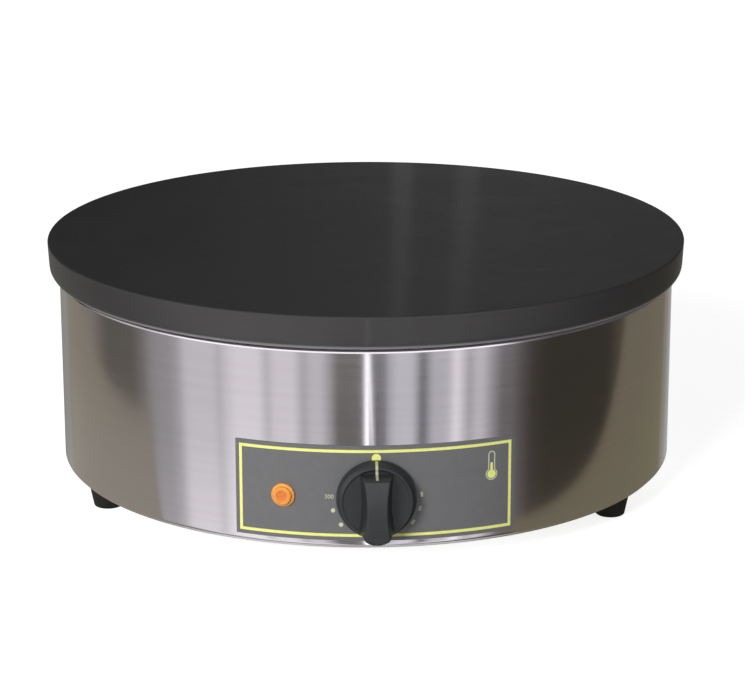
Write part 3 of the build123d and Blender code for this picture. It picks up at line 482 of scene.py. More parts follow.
class Graph:
    """A node tree that is built node by node."""

    def __init__(self, holder: bpy.types.Material | bpy.types.World, place: str) -> None:
        """Empties the tree of a material or a world.

        Args:
            holder: the material or the world.
            place: the texture coordinate that the tree works from.
        """
        holder.use_nodes = True
        self.tree = holder.node_tree
        self.tree.nodes.clear()
        self.at = self.add("ShaderNodeTexCoord").outputs[place]

    def add(
        self, kind: str, inputs: dict[str | int, object] | None = None, **settings: object
    ) -> bpy.types.Node:
        """Adds a node, joins the inputs that are given a socket and sets the others.

        Args:
            kind: the node's type.
            inputs: the node's inputs by name or number.
            settings: the node's own properties.

        Returns:
            The new node.
        """
        node = self.tree.nodes.new(kind)
        for key, value in settings.items():
            setattr(node, key, value)
        for key, value in (inputs or {}).items():
            if isinstance(value, Socket):
                self.tree.links.new(value, node.inputs[key])
            else:
                node.inputs[key].default_value = value
        return node

    def sum(self, operation: str, *values: object) -> Socket:
        """A Math node's result, for one operation on one, two or three values."""
        return self.add("ShaderNodeMath", dict(enumerate(values)), operation=operation).outputs[0]

    def arc(self, parts: Sequence[Socket]) -> Socket:
        """The bearing in radians of a place, from its separate x, y and z."""
        return self.sum("ARCTAN2", parts[0], self.sum("MULTIPLY", parts[1], -1.0))

    def vectors(self, operation: str, first: Socket, second: object) -> Socket:
        """A Vector Math node's vector, for one operation on two vectors."""
        return self.add("ShaderNodeVectorMath", {0: first, 1: second}, operation=operation).outputs[0]

    def length(self, vector: Socket) -> Socket:
        """A vector's length."""
        return self.add("ShaderNodeVectorMath", {0: vector}, operation="LENGTH").outputs["Value"]

    def joined(self, x: Socket, y: Socket, z: object = 0.0) -> Socket:
        """A vector from its x, y and z."""
        return self.add("ShaderNodeCombineXYZ", {0: x, 1: y, 2: z}).outputs[0]

    def mixed(self, share: object, first: object, second: object) -> Socket:
        """A colour between two others.

        Args:
            share: how much of the second colour there is.
            first: the colour at a share of 0.
            second: the colour at a share of 1.

        Returns:
            The mixed colour.
        """
        node = self.add("ShaderNodeMix", data_type="RGBA")
        for index, value in ((0, share), (6, first), (7, second)):
            if isinstance(value, Socket):
                self.tree.links.new(value, node.inputs[index])
            else:
                node.inputs[index].default_value = value if index == 0 else (*value, 1.0)
        return node.outputs[2]

    def share(self, value: Socket, start: float, end: float) -> Socket:
        """How far a value has got from one level to another, with soft ends."""
        wants = {"Value": value, "From Min": start, "From Max": end}
        return self.add("ShaderNodeMapRange", wants, interpolation_type="SMOOTHSTEP").outputs[0]

    def ramp(self, value: Socket, stops: Sequence[tuple[float, Colour]]) -> Socket:
        """A colour that runs evenly from stop to stop as a value rises.

        Args:
            value: the value.
            stops: the value and the colour at each stop, in order.

        Returns:
            The colour.
        """
        (first, first_colour), (last, last_colour) = stops[0], stops[-1]
        wants = {"Value": value, "From Min": first, "From Max": last}
        node = self.add("ShaderNodeValToRGB", {0: self.add("ShaderNodeMapRange", wants).outputs[0]})
        elements = node.color_ramp.elements
        elements[0].color = (*first_colour, 1.0)
        elements[1].color = (*last_colour, 1.0)
        for place, colour in stops[1:-1]:
            elements.new((place - first) / (last - first)).color = (*colour, 1.0)
        return node.outputs[0]


class Paint(Graph):
    """A material's node tree round one Principled shader."""

    def __init__(self, name: str) -> None:
        """Starts a material with its shader and its output.

        Args:
            name: the material's name.
        """
        self.material = bpy.data.materials.new(name)
        super().__init__(self.material, "Object")
        self.shader = self.add("ShaderNodeBsdfPrincipled")
        self.add("ShaderNodeOutputMaterial", {"Surface": self.shader.outputs["BSDF"]})

    def stretched(self, scale: Sequence[float], shift: Sequence[float] = (0, 0, 0)) -> Socket:
        """The place on the piece, shifted and then scaled along each axis."""
        moved = self.vectors("SUBTRACT", self.at, tuple(shift))
        return self.add("ShaderNodeMapping", {"Vector": moved, "Scale": tuple(scale)}).outputs[0]

    def noise(self, at: Socket, scale: float, detail: float = 3.0) -> Socket:
        """A cloudy pattern between 0 and 1."""
        wants = {"Vector": at, "Scale": scale, "Detail": detail}
        return self.add("ShaderNodeTexNoise", wants).outputs[0]

    def cloud(self, scale: float, detail: float = 3.0) -> Socket:
        """A cloudy pattern on the piece, spread over 0 to 1."""
        return self.spread(self.noise(self.at, scale, detail), 0.0, 1.0)

    def spread(self, value: Socket, low: float, high: float, tight: float = 0.3) -> Socket:
        """Spreads a pattern's middle values over a range, with soft ends."""
        wants = {"Value": value, "From Min": tight, "From Max": 1 - tight, "To Min": low, "To Max": high}
        return self.add("ShaderNodeMapRange", wants, interpolation_type="SMOOTHSTEP").outputs[0]

    def mottled(self, colour: Colour, pattern: Socket, depth: float) -> Socket:
        """A colour that a pattern makes a little darker and lighter."""
        dark, light = (tuple(part * tone for part in colour) for tone in (1 - depth, 1 + depth))
        return self.mixed(pattern, dark, light)

    def bumped(self, height: Socket, depth: float, below: Socket | None = None) -> Socket:
        """A normal that follows a height pattern of a real depth, on top of another normal."""
        wants: dict[str | int, object] = {"Height": height, "Distance": depth}
        return self.add("ShaderNodeBump", wants | ({"Normal": below} if below else {})).outputs[0]

    def set(self, **values: object) -> None:
        """Sets or joins the shader's inputs.

        Args:
            values: what each input gets, by its name; an underscore stands for a space.
        """
        for key, value in values.items():
            spot = self.shader.inputs[key.replace("_", " ")]
            if isinstance(value, Socket):
                self.tree.links.new(value, spot)
            elif spot.type == "RGBA":
                spot.default_value = (*value, 1.0)
            else:
                spot.default_value = value

    def round_the_drum(self) -> tuple[Socket, Socket, Socket]:
        """The arc in radians from the front, the distance from the axis and the height."""
        parts = self.add("ShaderNodeSeparateXYZ", {0: self.at}).outputs
        return self.arc(parts), self.length(self.joined(parts[0], parts[1])), parts[2]


@dataclass(frozen=True)
class Finish:
    """An even finish with a fine grain: moulded, cast, plated, rubber, ceramic or fibre."""

    name: str
    colour: Colour
    metallic: float = 0.0
    roughness: tuple[float, float] = (0.4, 0.5)
    specular: float = 0.5
    mottle: float = 0.08
    mottle_scale: float = 60.0
    grain_scale: float = 1400.0
    grain_depth: float = 0.01 * MM

    @cache
    def material(self) -> bpy.types.Material:
        """Builds the material once, and gives the same one back after that.

        Returns:
            The material.
        """
        graph = Paint(self.name)
        self.paint(graph)
        return graph.material

    def paint(self, graph: Paint) -> None:
        """Fills the node tree.

        Args:
            graph: the material's node tree.
        """
        grain = graph.noise(graph.at, self.grain_scale, detail=2.0)
        graph.set(
            Base_Color=graph.mottled(self.colour, graph.cloud(self.mottle_scale, detail=4.0), self.mottle),
            Metallic=self.metallic,
            Roughness=graph.spread(grain, *self.roughness),
            Specular_IOR_Level=self.specular,
            Normal=graph.bumped(grain, self.grain_depth),
        )


@dataclass(frozen=True)
class TurnedIron(Finish):
    """Seasoned cast iron, turned on a lathe: faint rings and dull blotches, a side painted paler with a patch
    of painted shade, and a lower edge painted pale as painted light.
    """

    ring_scale: float = 1500.0
    ring_depth: float = 0.012 * MM
    ring_wind: float = 0.004
    blotch: float = 0.03
    grain_rough: float = 0.04
    # Painted light: the lowest band of the side is painted pale, as light caught by the lower rounding.
    painted_edge_light_colour: Colour = (0.36, 0.35, 0.36)
    painted_edge_light_band: tuple[float, float] = (134.6 * MM, 136.8 * MM)
    gloss: float = 0.12
    gloss_roughness: float = 0.07
    # Painted light and shade: the side is painted paler than the face, with a darker patch round one bearing.
    side_painted_lift: float = 1.5
    face_edge: tuple[float, float] = (152.8 * MM, 153.9 * MM)
    painted_shade_bearing: float = -52.0
    painted_shade_reach: float = 28.0
    painted_shade_depth: float = 0.42

    def painted_side_shading(self, graph: Paint, arc: Socket, height: Socket) -> Socket:
        """How much paler the side is painted than the face, as painted light, with one patch of painted shade
        on it.

        Args:
            graph: the material's node tree.
            arc: the bearing in radians.
            height: the height above the counter.

        Returns:
            The factor on the colour: 1 on the face.
        """
        # Painted shade: a darker patch on the side, centred on one bearing.
        off = graph.sum("ABSOLUTE", graph.sum("SUBTRACT", arc, math.radians(self.painted_shade_bearing)))
        dull = graph.share(off, math.radians(self.painted_shade_reach), 0.0)
        side = graph.sum("MULTIPLY_ADD", dull, -self.painted_shade_depth, self.side_painted_lift)
        face = graph.share(height, *self.face_edge)
        return graph.sum("MULTIPLY_ADD", face, graph.sum("SUBTRACT", 1.0, side), side)

    def paint(self, graph: Paint) -> None:
        """Adds turning rings and blotches to the cast grain, and paints light and shade on the side and the
        lower edge.

        Args:
            graph: the material's node tree.
        """
        arc, reach, height = graph.round_the_drum()
        across = graph.joined(reach, graph.sum("MULTIPLY", arc, self.ring_wind), height)
        rings = graph.noise(across, self.ring_scale)
        blotches = graph.cloud(self.mottle_scale, detail=6.0)
        grain = graph.noise(graph.at, self.grain_scale)
        tone = graph.mottled(self.colour, blotches, self.blotch)
        lines = graph.spread(rings, 1 - self.mottle, 1 + self.mottle)
        # The colour carries the painted light and shade of the side.
        shade = graph.sum("MULTIPLY", lines, self.painted_side_shading(graph, arc, height))
        scaled = graph.add("ShaderNodeVectorMath", {0: tone, "Scale": shade}, operation="SCALE")
        # Painted light: below this band the pale painted edge light takes over from the plate's colour.
        above_edge_light = graph.share(height, *self.painted_edge_light_band)
        uneven = graph.spread(grain, -self.grain_rough, self.grain_rough)
        rough = graph.sum("ADD", graph.spread(blotches, *self.roughness), uneven)
        ringed = graph.bumped(rings, self.ring_depth)
        graph.set(
            Base_Color=graph.mixed(above_edge_light, self.painted_edge_light_colour, scaled.outputs[0]),
            Roughness=rough,
            Specular_IOR_Level=self.specular,
            Normal=graph.bumped(grain, self.grain_depth, ringed),
            Coat_Weight=self.gloss,
            Coat_Roughness=self.gloss_roughness,
        )


@dataclass(frozen=True)
class BrushedSteel(Finish):
    """Rolled stainless sheet with fine brush lines."""

    grain: Grain = Grain.ROUND_THE_DRUM
    stretch: float = 0.85
    line_scale: float = 2200.0
    line_length: float = 0.035
    drum_radius: float = 193.0 * MM
    stretch_turn: float = 0.25
    broad_lines: float = 6.0
    cloud_rough: float = 0.01

    def paint(self, graph: Paint) -> None:
        """Draws brush lines along the grain and stretches the gloss across it.

        Args:
            graph: the material's node tree.
        """
        if self.grain is Grain.ROUND_THE_DRUM:
            arc, reach, height = graph.round_the_drum()
            along = graph.sum("MULTIPLY", arc, self.drum_radius / self.line_length / self.line_scale)
            at = graph.joined(along, reach, height)
            tangent = graph.add("ShaderNodeTangent", direction_type="RADIAL", axis="Z").outputs[0]
            graph.set(Anisotropic=self.stretch, Anisotropic_Rotation=self.stretch_turn, Tangent=tangent)
        else:
            at = graph.stretched((1 / self.line_length / self.line_scale, 1, 1))
        lines = graph.noise(at, self.line_scale, detail=4.0)
        broad = graph.noise(at, self.line_scale / self.broad_lines)
        cloud = graph.noise(graph.at, self.mottle_scale)
        uneven = graph.spread(cloud, -self.cloud_rough, self.cloud_rough)
        graph.set(
            Base_Color=graph.mottled(self.colour, graph.spread(broad, 0.0, 1.0), self.mottle),
            Metallic=1.0,
            Roughness=graph.sum("ADD", graph.spread(lines, *self.roughness), uneven),
            Normal=graph.bumped(lines, self.grain_depth),
        )


@dataclass(frozen=True)
class LampLens(Finish):
    """The pilot lamp's orange lens with small pyramids inside, painted brighter at the rim and darker in the
    middle and along the facets as painted light and shade.
    """

    middle: Corner = (0.0, 0.0, 0.0)
    reach: float = 7.0 * MM
    # Painted light: the brighter colour towards the rim.
    painted_rim_light_colour: Colour = (0.9, 0.39, 0.055)
    rim_start: float = 0.22
    facet_scale: float = 620.0
    painted_facet_shade: float = 0.35
    glow: float = 0.25
    glow_reach: Corner = (4.0 * MM, 1.6 * MM, 0.6 * MM)
    gloss: float = 0.4
    gloss_roughness: float = 0.12

    def paint(self, graph: Paint) -> None:
        """Paints the lens brighter away from its axis and darker along its facets, as painted light and shade,
        and breaks it up with facets.

        Args:
            graph: the material's node tree.
        """
        away = graph.length(graph.stretched((1, 1, 1), self.middle))
        wants = {"Vector": graph.at, "Scale": self.facet_scale}
        facets = graph.add("ShaderNodeTexVoronoi", wants, feature="F1").outputs["Distance"]
        # Painted light and shade: the share of the rim colour rises away from the axis, and the facets darken
        # it.
        ring = graph.spread(graph.sum("DIVIDE", away, self.reach), 0.0, 1.0, self.rim_start)
        broken = graph.sum("SUBTRACT", ring, graph.sum("MULTIPLY", facets, self.painted_facet_shade))
        clamped = graph.add("ShaderNodeClamp", {"Value": broken}).outputs[0]
        graph.set(
            Base_Color=graph.mixed(clamped, self.colour, self.painted_rim_light_colour),
            Roughness=graph.spread(facets, *self.roughness),
            Specular_IOR_Level=self.specular,
            Normal=graph.bumped(facets, self.grain_depth),
            Subsurface_Weight=self.glow,
            Subsurface_Radius=self.glow_reach,
            Coat_Weight=self.gloss,
            Coat_Roughness=self.gloss_roughness,
        )


@dataclass(frozen=True)
class HotSheath(Finish):
    """An element's sheath: steel that heat has turned brown and blue in patches."""

    hot_colour: Colour = (0.09, 0.07, 0.08)

    def paint(self, graph: Paint) -> None:
        """Mixes two heat tints and a dull oxide grain.

        Args:
            graph: the material's node tree.
        """
        grain = graph.noise(graph.at, self.grain_scale)
        graph.set(
            Base_Color=graph.mixed(graph.cloud(self.mottle_scale), self.colour, self.hot_colour),
            Metallic=self.metallic,
            Roughness=graph.spread(grain, *self.roughness),
            Normal=graph.bumped(grain, self.grain_depth),
        )


@dataclass(frozen=True)
class Ink(Finish):
    """A print or an inlay: an even colour with hardly any grain."""

    mottle: float = 0.05
    mottle_scale: float = 500.0
    grain_scale: float = 3000.0
    grain_depth: float = 0.003 * MM


@dataclass(frozen=True)
class Silicone(Finish):
    """The soft skin of an internal lead."""

    roughness: tuple[float, float] = (0.42, 0.55)
    mottle_scale: float = 200.0


@dataclass(frozen=True)
class Metal(Finish):
    """A bare or plated metal."""

    metallic: float = 1.0
    roughness: tuple[float, float] = (0.26, 0.42)


CAST_PLATE = TurnedIron(
    "seasoned_cast_iron", (0.032, 0.0305, 0.0312), roughness=(0.5, 0.55), specular=0.2, mottle=0.04,
    mottle_scale=22.0, grain_scale=1100.0, grain_depth=0.03 * MM,
)
DRUM_STEEL = BrushedSteel(
    "brushed_drum_sheet", (0.6, 0.565, 0.605), roughness=(0.115, 0.14), mottle=0.012, mottle_scale=14.0,
    grain_depth=0.0005 * MM,
)
BASE_STEEL = BrushedSteel(
    "brushed_base_sheet", (0.56, 0.55, 0.55), roughness=(0.3, 0.38), mottle=0.06, mottle_scale=14.0,
    grain_depth=0.003 * MM, grain=Grain.ALONG_X,
)
LABEL_FILM = Finish(
    "printed_film", (0.126, 0.127, 0.131), roughness=(0.42, 0.5), specular=0.6, mottle=0.03,
    mottle_scale=180.0, grain_scale=2600.0, grain_depth=0.006 * MM,
)
YELLOW_INK = Ink("yellow_ink", (0.83, 0.85, 0.25), mottle=0.04)
PALE_INK = Ink("pale_ink", (0.56, 0.57, 0.4))
POINTER_PAINT = Ink("pointer_inlay", (0.47, 0.48, 0.34))
KNOB_PLASTIC = Finish(
    "moulded_knob_plastic", (0.017, 0.019, 0.021), roughness=(0.36, 0.46), mottle=0.1, mottle_scale=160.0,
    grain_scale=2600.0, grain_depth=0.012 * MM,
)
FOOT_RUBBER = Finish(
    "matt_black_rubber", (0.012, 0.012, 0.012), roughness=(0.62, 0.78), specular=0.35, mottle=0.25,
    mottle_scale=240.0, grain_scale=1500.0, grain_depth=0.03 * MM,
)
GLAND_NYLON = Finish(
    "black_nylon", (0.024, 0.024, 0.026), roughness=(0.4, 0.52), specular=0.45, mottle=0.1,
    mottle_scale=150.0, grain_scale=1900.0, grain_depth=0.012 * MM,
)
SWITCH_PLASTIC = Finish("dark_moulding", (0.045, 0.045, 0.05), roughness=(0.45, 0.6))
LAMP_PLASTIC = Finish("lamp_barrel_plastic", (0.68, 0.66, 0.6), mottle=0.04)
LAMP_LENS = LampLens("orange_lens", (0.68, 0.19, 0.025), roughness=(0.25, 0.4), grain_depth=0.25 * MM)
SHEATH = HotSheath(
    "heat_browned_sheath", (0.2, 0.15, 0.11), metallic=0.8, roughness=(0.42, 0.62), mottle_scale=35.0
)
FIBRE = Finish(
    "ceramic_fibre", (0.8, 0.78, 0.72), roughness=(0.88, 0.98), specular=0.2, mottle_scale=120.0,
    grain_scale=700.0, grain_depth=0.2 * MM,
)
CERAMIC = Finish(
    "white_steatite", (0.82, 0.8, 0.75), roughness=(0.55, 0.7), mottle=0.04, grain_scale=1200.0,
    grain_depth=0.03 * MM,
)
ZINC_STEEL = Metal(
    "dull_zinc", (0.5, 0.5, 0.49), roughness=(0.34, 0.5), mottle=0.12, mottle_scale=220.0, grain_scale=900.0
)
PLATED = Metal("bright_zinc", (0.6, 0.6, 0.58), roughness=(0.22, 0.34), mottle=0.07, mottle_scale=300.0)
COPPER = Metal("bare_copper", (0.72, 0.4, 0.24), mottle=0.15, mottle_scale=150.0)
BRASS = Metal("bare_brass", (0.7, 0.53, 0.23), roughness=(0.26, 0.4), mottle=0.1, mottle_scale=180.0)
BROWN_LEAD = Silicone("brown_silicone", (0.15, 0.055, 0.03))
BLUE_LEAD = Silicone("blue_silicone", (0.035, 0.09, 0.38))
GREEN_LEAD = Silicone("green_silicone", (0.1, 0.34, 0.08))


def fitted(piece: Piece, finish: Finish, slot: str, *nodes: str, body: Body = Body.HOUSING) -> Piece:
    """Smooths and paints a new piece, sets it on its body and lets it stand for its CAD nodes.

    Args:
        piece: the finished mesh, in place.
        finish: what it is painted with.
        slot: not used.
        nodes: the CAD nodes that it stands for; none for a print.
        body: the body that it rides on.

    Returns:
        The same piece.
    """
    only(piece)
    bpy.ops.object.shade_smooth_by_angle(angle=math.radians(SMOOTH_ANGLE))
    piece.data.materials.clear()
    piece.data.materials.append(finish.material())
    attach(piece, body.value)
    if nodes:
        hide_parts(*nodes)
    log.info("%s: %d faces on %s", piece.name, len(piece.data.polygons), body.value)
    return piece


# ---- The object's own sub-assemblies


@dataclass
class GriddlePlate:
    """The cast plate: deck, skirt, rim bosses and centre boss."""

    draft: float = 1.1 * MM
    top_round: float = 1.3 * MM
    foot_round: float = 6.0 * MM
    deck: float = 12.0 * MM
    skirt: float = 14.0 * MM
    boss_radius: float = 10.0 * MM
    centre_boss_radius: float = 12.0 * MM
    bore_radius: float = 3.05 * MM
    centre_bore_radius: float = 4.05 * MM
    bore_margin: float = 5.0 * MM

    def build(self) -> None:
        """Turns the plate, adds its bosses and drills them."""
        low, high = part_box("griddle_plate")
        radius, foot, top = high.x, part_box("plate_spacers")[1].z, high.z
        boss_foot = low.z
        deck_underside = top - self.deck
        skirt_inner = radius - self.skirt
        plate = turned("cast_griddle_plate", [
            (0, deck_underside, 0), (skirt_inner, deck_underside, 0), (skirt_inner, foot, 0),
            (radius - self.draft, foot, self.foot_round), (radius, top, self.top_round), (0, top, 0),
        ], steps=9, sides=FINE_SIDES)
        spots = [on_circle(STUD_CIRCLE, bearing) for bearing in STUD_BEARINGS]
        seat, drill_top = deck_underside + PAST, top - self.bore_margin
        bosses = [pin(self.boss_radius, foot, seat, at) for at in spots]
        bosses.append(pin(self.centre_boss_radius, boss_foot, seat))
        combined(plate, gathered(bosses), Cut.ADD)
        drills = [pin(self.bore_radius, foot - PAST, drill_top, at) for at in spots]
        drills.append(pin(self.centre_bore_radius, boss_foot - PAST, drill_top))
        combined(plate, gathered(drills), Cut.TAKE_AWAY)
        fitted(plate, CAST_PLATE, "cast_plate", "griddle_plate")


@dataclass
class Casing:
    """The rolled drum with its two flanges, and the base plate under it."""

    wall: float = 1.0 * MM
    bend: float = 2.2 * MM
    flange: float = 25.0 * MM
    stud_hole: float = 3.3 * MM
    foot_hole: float = 2.8 * MM
    screw_hole: float = 2.3 * MM
    lamp_hole: float = 5.3 * MM
    gland_hole: float = 10.3 * MM
    shaft_hole: float = 3.6 * MM
    foot_circle: float = 178.5 * MM
    screw_circle: float = 181.0 * MM
    screw_pitch: float = 28.0 * MM
    edge_round: float = 0.45 * MM
    vents: int = 16
    vent_length: float = 36.0 * MM
    vent_width: float = 5.0 * MM
    vent_circle: float = 80.0 * MM
    foot_bearings: tuple[float, ...] = (55.0, 175.0, 295.0)
    screw_steps: tuple[float, ...] = (40.0, 80.0)

    def foot_drills(self, low: float, high: float) -> list[Piece]:
        """The drills for the feet and for the small screws between them.

        Args:
            low: the height at which they start.
            high: the height at which they end.

        Returns:
            The drills.
        """
        drills = []
        for bearing in self.foot_bearings:
            at = on_circle(self.foot_circle, bearing)
            drills.append(pin(self.foot_hole, low, high, at, DRILL_SIDES))
            for step in self.screw_steps:
                at = on_circle(self.screw_circle, bearing + step)
                drills.append(pin(self.screw_hole, low, high, at, DRILL_SIDES))
        return drills

    def wall_drills(self, radius: float) -> list[Piece]:
        """The drills for the lamp, the gland, the thermostat's shaft and its two screws.

        Args:
            radius: the drum's radius.

        Returns:
            The drills.
        """
        through = (-2 * self.wall, self.wall)
        lamp, gland = middle_of("pilot_lamp_lens"), middle_of("gland_seal")
        front = on_wall(radius, 0.0, mid_height("thermostat_shaft"))
        drills = [
            placed(pin(self.lamp_hole, *through), on_wall(radius, bearing_of(lamp), lamp.z)),
            placed(pin(self.gland_hole, *through), on_wall(radius, 180.0, gland.z)),
            placed(pin(self.shaft_hole, *through), front),
        ]
        for side in (-0.5, 0.5):
            drills.append(placed(pin(self.screw_hole, *through, (side * self.screw_pitch, 0)), front))
        return drills

    def build_drum(self) -> None:
        """Turns the casing and drills its flanges and its wall."""
        low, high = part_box("drum")
        radius, bottom, top = high.x, low.z, high.z
        inner, lip, inner_bend = radius - self.wall, radius - self.flange, self.bend - self.wall
        drum = turned("rolled_drum", [
            (lip, top, 0), (lip, top - self.wall, 0), (inner, top - self.wall, inner_bend),
            (inner, bottom + self.wall, inner_bend), (lip, bottom + self.wall, 0), (lip, bottom, 0),
            (radius, bottom, self.bend), (radius, top, self.bend),
        ], steps=8, sides=FINE_SIDES)
        drills = self.foot_drills(bottom - PAST, bottom + self.wall + PAST)
        for bearing in STUD_BEARINGS:
            at = on_circle(STUD_CIRCLE, bearing)
            drills.append(pin(self.stud_hole, top - self.wall - PAST, top + PAST, at, DRILL_SIDES))
        combined(drum, gathered(drills + self.wall_drills(radius)), Cut.TAKE_AWAY)
        fitted(drum, DRUM_STEEL, "stainless", "drum")

    def drills_for(self, node: str, low: float, high: float) -> list[Piece]:
        """The drills for what passes the base plate near the middle of a node's box.

        Args:
            node: the node's name.
            low: the height at which they start.
            high: the height at which they end.

        Returns:
            One drill, or two where the node holds two screws side by side.
        """
        corner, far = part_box(node)
        y = (corner.y + far.y) / 2
        half = (far.y - corner.y) / 2
        spots = {round(corner.x + half, 5), round(far.x - half, 5)}
        return [pin(self.foot_hole, low, high, (x, y), DRILL_SIDES) for x in sorted(spots)]

    def build_base(self) -> None:
        """Turns the base plate and cuts its cooling slots and screw holes."""
        low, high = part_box("base_plate")
        base = turned("base_sheet", [
            (0, low.z, 0), (high.x, low.z, self.edge_round), (high.x, high.z, self.edge_round),
            (0, high.z, 0),
        ], steps=5, sides=FINE_SIDES)
        slots = []
        size = (self.vent_length, self.vent_width, high.z - low.z + 2 * PAST)
        for i in range(self.vents):
            slot = block(size, (self.vent_circle, 0, (low.z + high.z) / 2), self.vent_width / 2 - MERGE)
            slots.append(placed(slot, Matrix.Rotation(math.tau * i / self.vents, 4, "Z")))
        drills = self.foot_drills(low.z - PAST, high.z + PAST)
        for node in ("block_screws", "earth_stud"):
            drills += self.drills_for(node, low.z - PAST, high.z + PAST)
        combined(base, gathered(slots + drills), Cut.TAKE_AWAY)
        fitted(base, BASE_STEEL, "stainless", "base_plate")

    def build(self) -> None:
        """Builds the drum and its base plate."""
        self.build_drum()
        self.build_base()


@dataclass
class Feet:
    """The three tapered rubber feet."""

    top_radius: float = 11.3 * MM
    bottom_radius: float = 8.8 * MM
    rounding: float = 1.6 * MM
    recess_radius: float = 6.0 * MM
    recess_depth: float = 7.0 * MM
    bore_radius: float = 2.8 * MM
    collar: float = 0.5 * MM

    def build(self) -> None:
        """Turns one foot and sets a copy at each node's place."""
        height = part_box("foot_right")[1].z
        foot = turned("rubber_foot", [
            (self.bore_radius, height, 0), (self.bore_radius, self.recess_depth, 0),
            (self.recess_radius, self.recess_depth, 0), (self.recess_radius, 0, self.rounding / 2),
            (self.bottom_radius, 0, self.rounding), (self.top_radius, height, self.collar),
        ], steps=7, sides=72)
        for side in ("right", "rear", "left"):
            middle = middle_of(f"foot_{side}")
            twin = named(copied(foot), f"rubber_foot_{side}")
            placed(twin, Matrix.Translation((middle.x, middle.y, 0)))
            fitted(twin, FOOT_RUBBER, "foot_rubber", f"foot_{side}")
        bpy.data.objects.remove(foot)


@dataclass
class ControlLabel:
    """The printed film that is wrapped round the drum, with its border, dots, number and sign."""

    film: float = 0.5 * MM
    length: float = 167.0 * MM
    window_radius: float = 18.0 * MM
    lamp_window: float = 5.3 * MM
    lamp_offset: float = 54.1 * MM
    border_inset: float = 2.35 * MM
    border_width: float = 1.75 * MM
    dot_radius: float = 2.7 * MM
    dot_lift: float = 21.4 * MM
    ink: float = 0.06 * MM
    scale_radius: float = 26.3 * MM
    dash_bearings: tuple[float, ...] = (87.4, 106.1, 125.9)
    spot_bearings: tuple[float, ...] = (231.0, 252.4)
    dash_length: float = 3.0 * MM
    dash_width: float = 1.5 * MM
    dash_round: float = 0.3 * MM
    spot_radius: float = 1.3 * MM
    number_size: float = 3.7 * MM
    number_at: Point = (-27.3 * MM, -2.2 * MM)
    sign_shift: float = 68.6 * MM
    sign_low: float = 3.4 * MM
    sign_high: float = 21.2 * MM
    tube_width: float = 4.4 * MM
    bulb_width: float = 7.4 * MM
    outline_width: float = 0.7 * MM
    tube_round: float = 0.98
    filling_gap: float = 2.1
    filling_height: float = 0.5
    ball_gap: float = 0.75
    columns: int = 120

    def __post_init__(self) -> None:
        """Reads the film's place from the frame."""
        low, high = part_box("control_label")
        self.height = high.z - low.z
        self.middle = mid_height("control_label")
        self.outer = -low.y
        self.inner = self.outer - self.film
        self.control = mid_height("thermostat_shaft") - self.middle
        self.bulb_y = self.sign_low + self.bulb_width / 2

    def sliced(self, piece: Piece) -> Piece:
        """Cuts a flat piece into narrow upright strips, so that it can bend round the drum.

        Args:
            piece: the flat piece.

        Returns:
            The same piece.
        """
        xs = [vertex.co.x for vertex in piece.data.vertices]
        pitch = self.length / self.columns
        first, last = math.ceil(min(xs) / pitch), math.floor(max(xs) / pitch)
        with editing(piece):
            for column in range(first, last + 1):
                bpy.ops.mesh.select_all(action="SELECT")
                bpy.ops.mesh.bisect(plane_co=(column * pitch, 0, 0), plane_no=(1, 0, 0))
        return piece

    def printed(self, name: str, flats: Sequence[Piece], finish: Finish) -> None:
        """Wraps flat prints round the film as one piece."""
        sheet = named(self.sliced(gathered(flats)), name)
        fitted(wrapped(sheet, self.outer, self.middle, self.outer), finish, "pointer_paint")

    def build_film(self) -> None:
        """Cuts the film, opens its windows and wraps it."""
        film = named(block((self.length, self.height, self.film), (0, 0, self.film / 2)), "label_film")
        windows = [
            pin(self.window_radius, -PAST, self.film + PAST, (0, self.control), sides=96),
            pin(self.lamp_window, -PAST, self.film + PAST, (-self.lamp_offset, self.control)),
        ]
        self.sliced(combined(film, gathered(windows), Cut.TAKE_AWAY))
        wrapped(film, self.inner, self.middle, self.outer)
        fitted(film, LABEL_FILM, "label_film", "control_label")

    def bar(self, width: float, height: float, at: Point = (0.0, 0.0), rounding: float = 0.0) -> Piece:
        """A printed bar, flat on the film."""
        return block((width, height, self.ink), (*at, self.ink / 2), rounding)

    def disc(self, radius: float, at: Point, sides: int = 32) -> Piece:
        """A printed disc, flat on the film."""
        return pin(radius, 0, self.ink, at, sides)

    def border(self) -> Piece:
        """The yellow frame line.

        Returns:
            The flat line.
        """
        length, height = self.length - 2 * self.border_inset, self.height - 2 * self.border_inset
        step = 2 * self.border_width
        inner = block((length - step, height - step, self.ink + 2 * PAST), (0, 0, self.ink / 2))
        return combined(self.bar(length, height), inner, Cut.TAKE_AWAY)

    def thermometer(self, grow: float) -> Piece:
        """The thermometer sign's solid shape.

        Args:
            grow: how far it is grown all round; negative to shrink it.

        Returns:
            The flat shape.
        """
        tube_half, top, depth = self.tube_width / 2 + grow, self.sign_high + grow, self.ink
        tall = top - self.bulb_y
        tube = self.bar(2 * tube_half, tall, (self.sign_shift, self.bulb_y + tall / 2))
        with editing(tube):
            pick(tube, "EDGE", lambda at: at.y > top - MM and abs(at.z - depth / 2) < depth / 4)
            bpy.ops.mesh.bevel(offset=tube_half * self.tube_round, segments=10, affect="EDGES")
        ball = self.disc(self.bulb_width / 2 + grow, (self.sign_shift, self.bulb_y), sides=40)
        return combined(tube, ball, Cut.ADD)

    def hollow_sign(self) -> Piece:
        """The sign's outline.

        Returns:
            The flat outline.
        """
        taller = Matrix.Diagonal((1, 1, 4, 1)) @ Matrix.Translation((0, 0, -self.ink / 2))
        inner = placed(self.thermometer(-self.outline_width), taller)
        return combined(self.thermometer(0.0), inner, Cut.TAKE_AWAY)

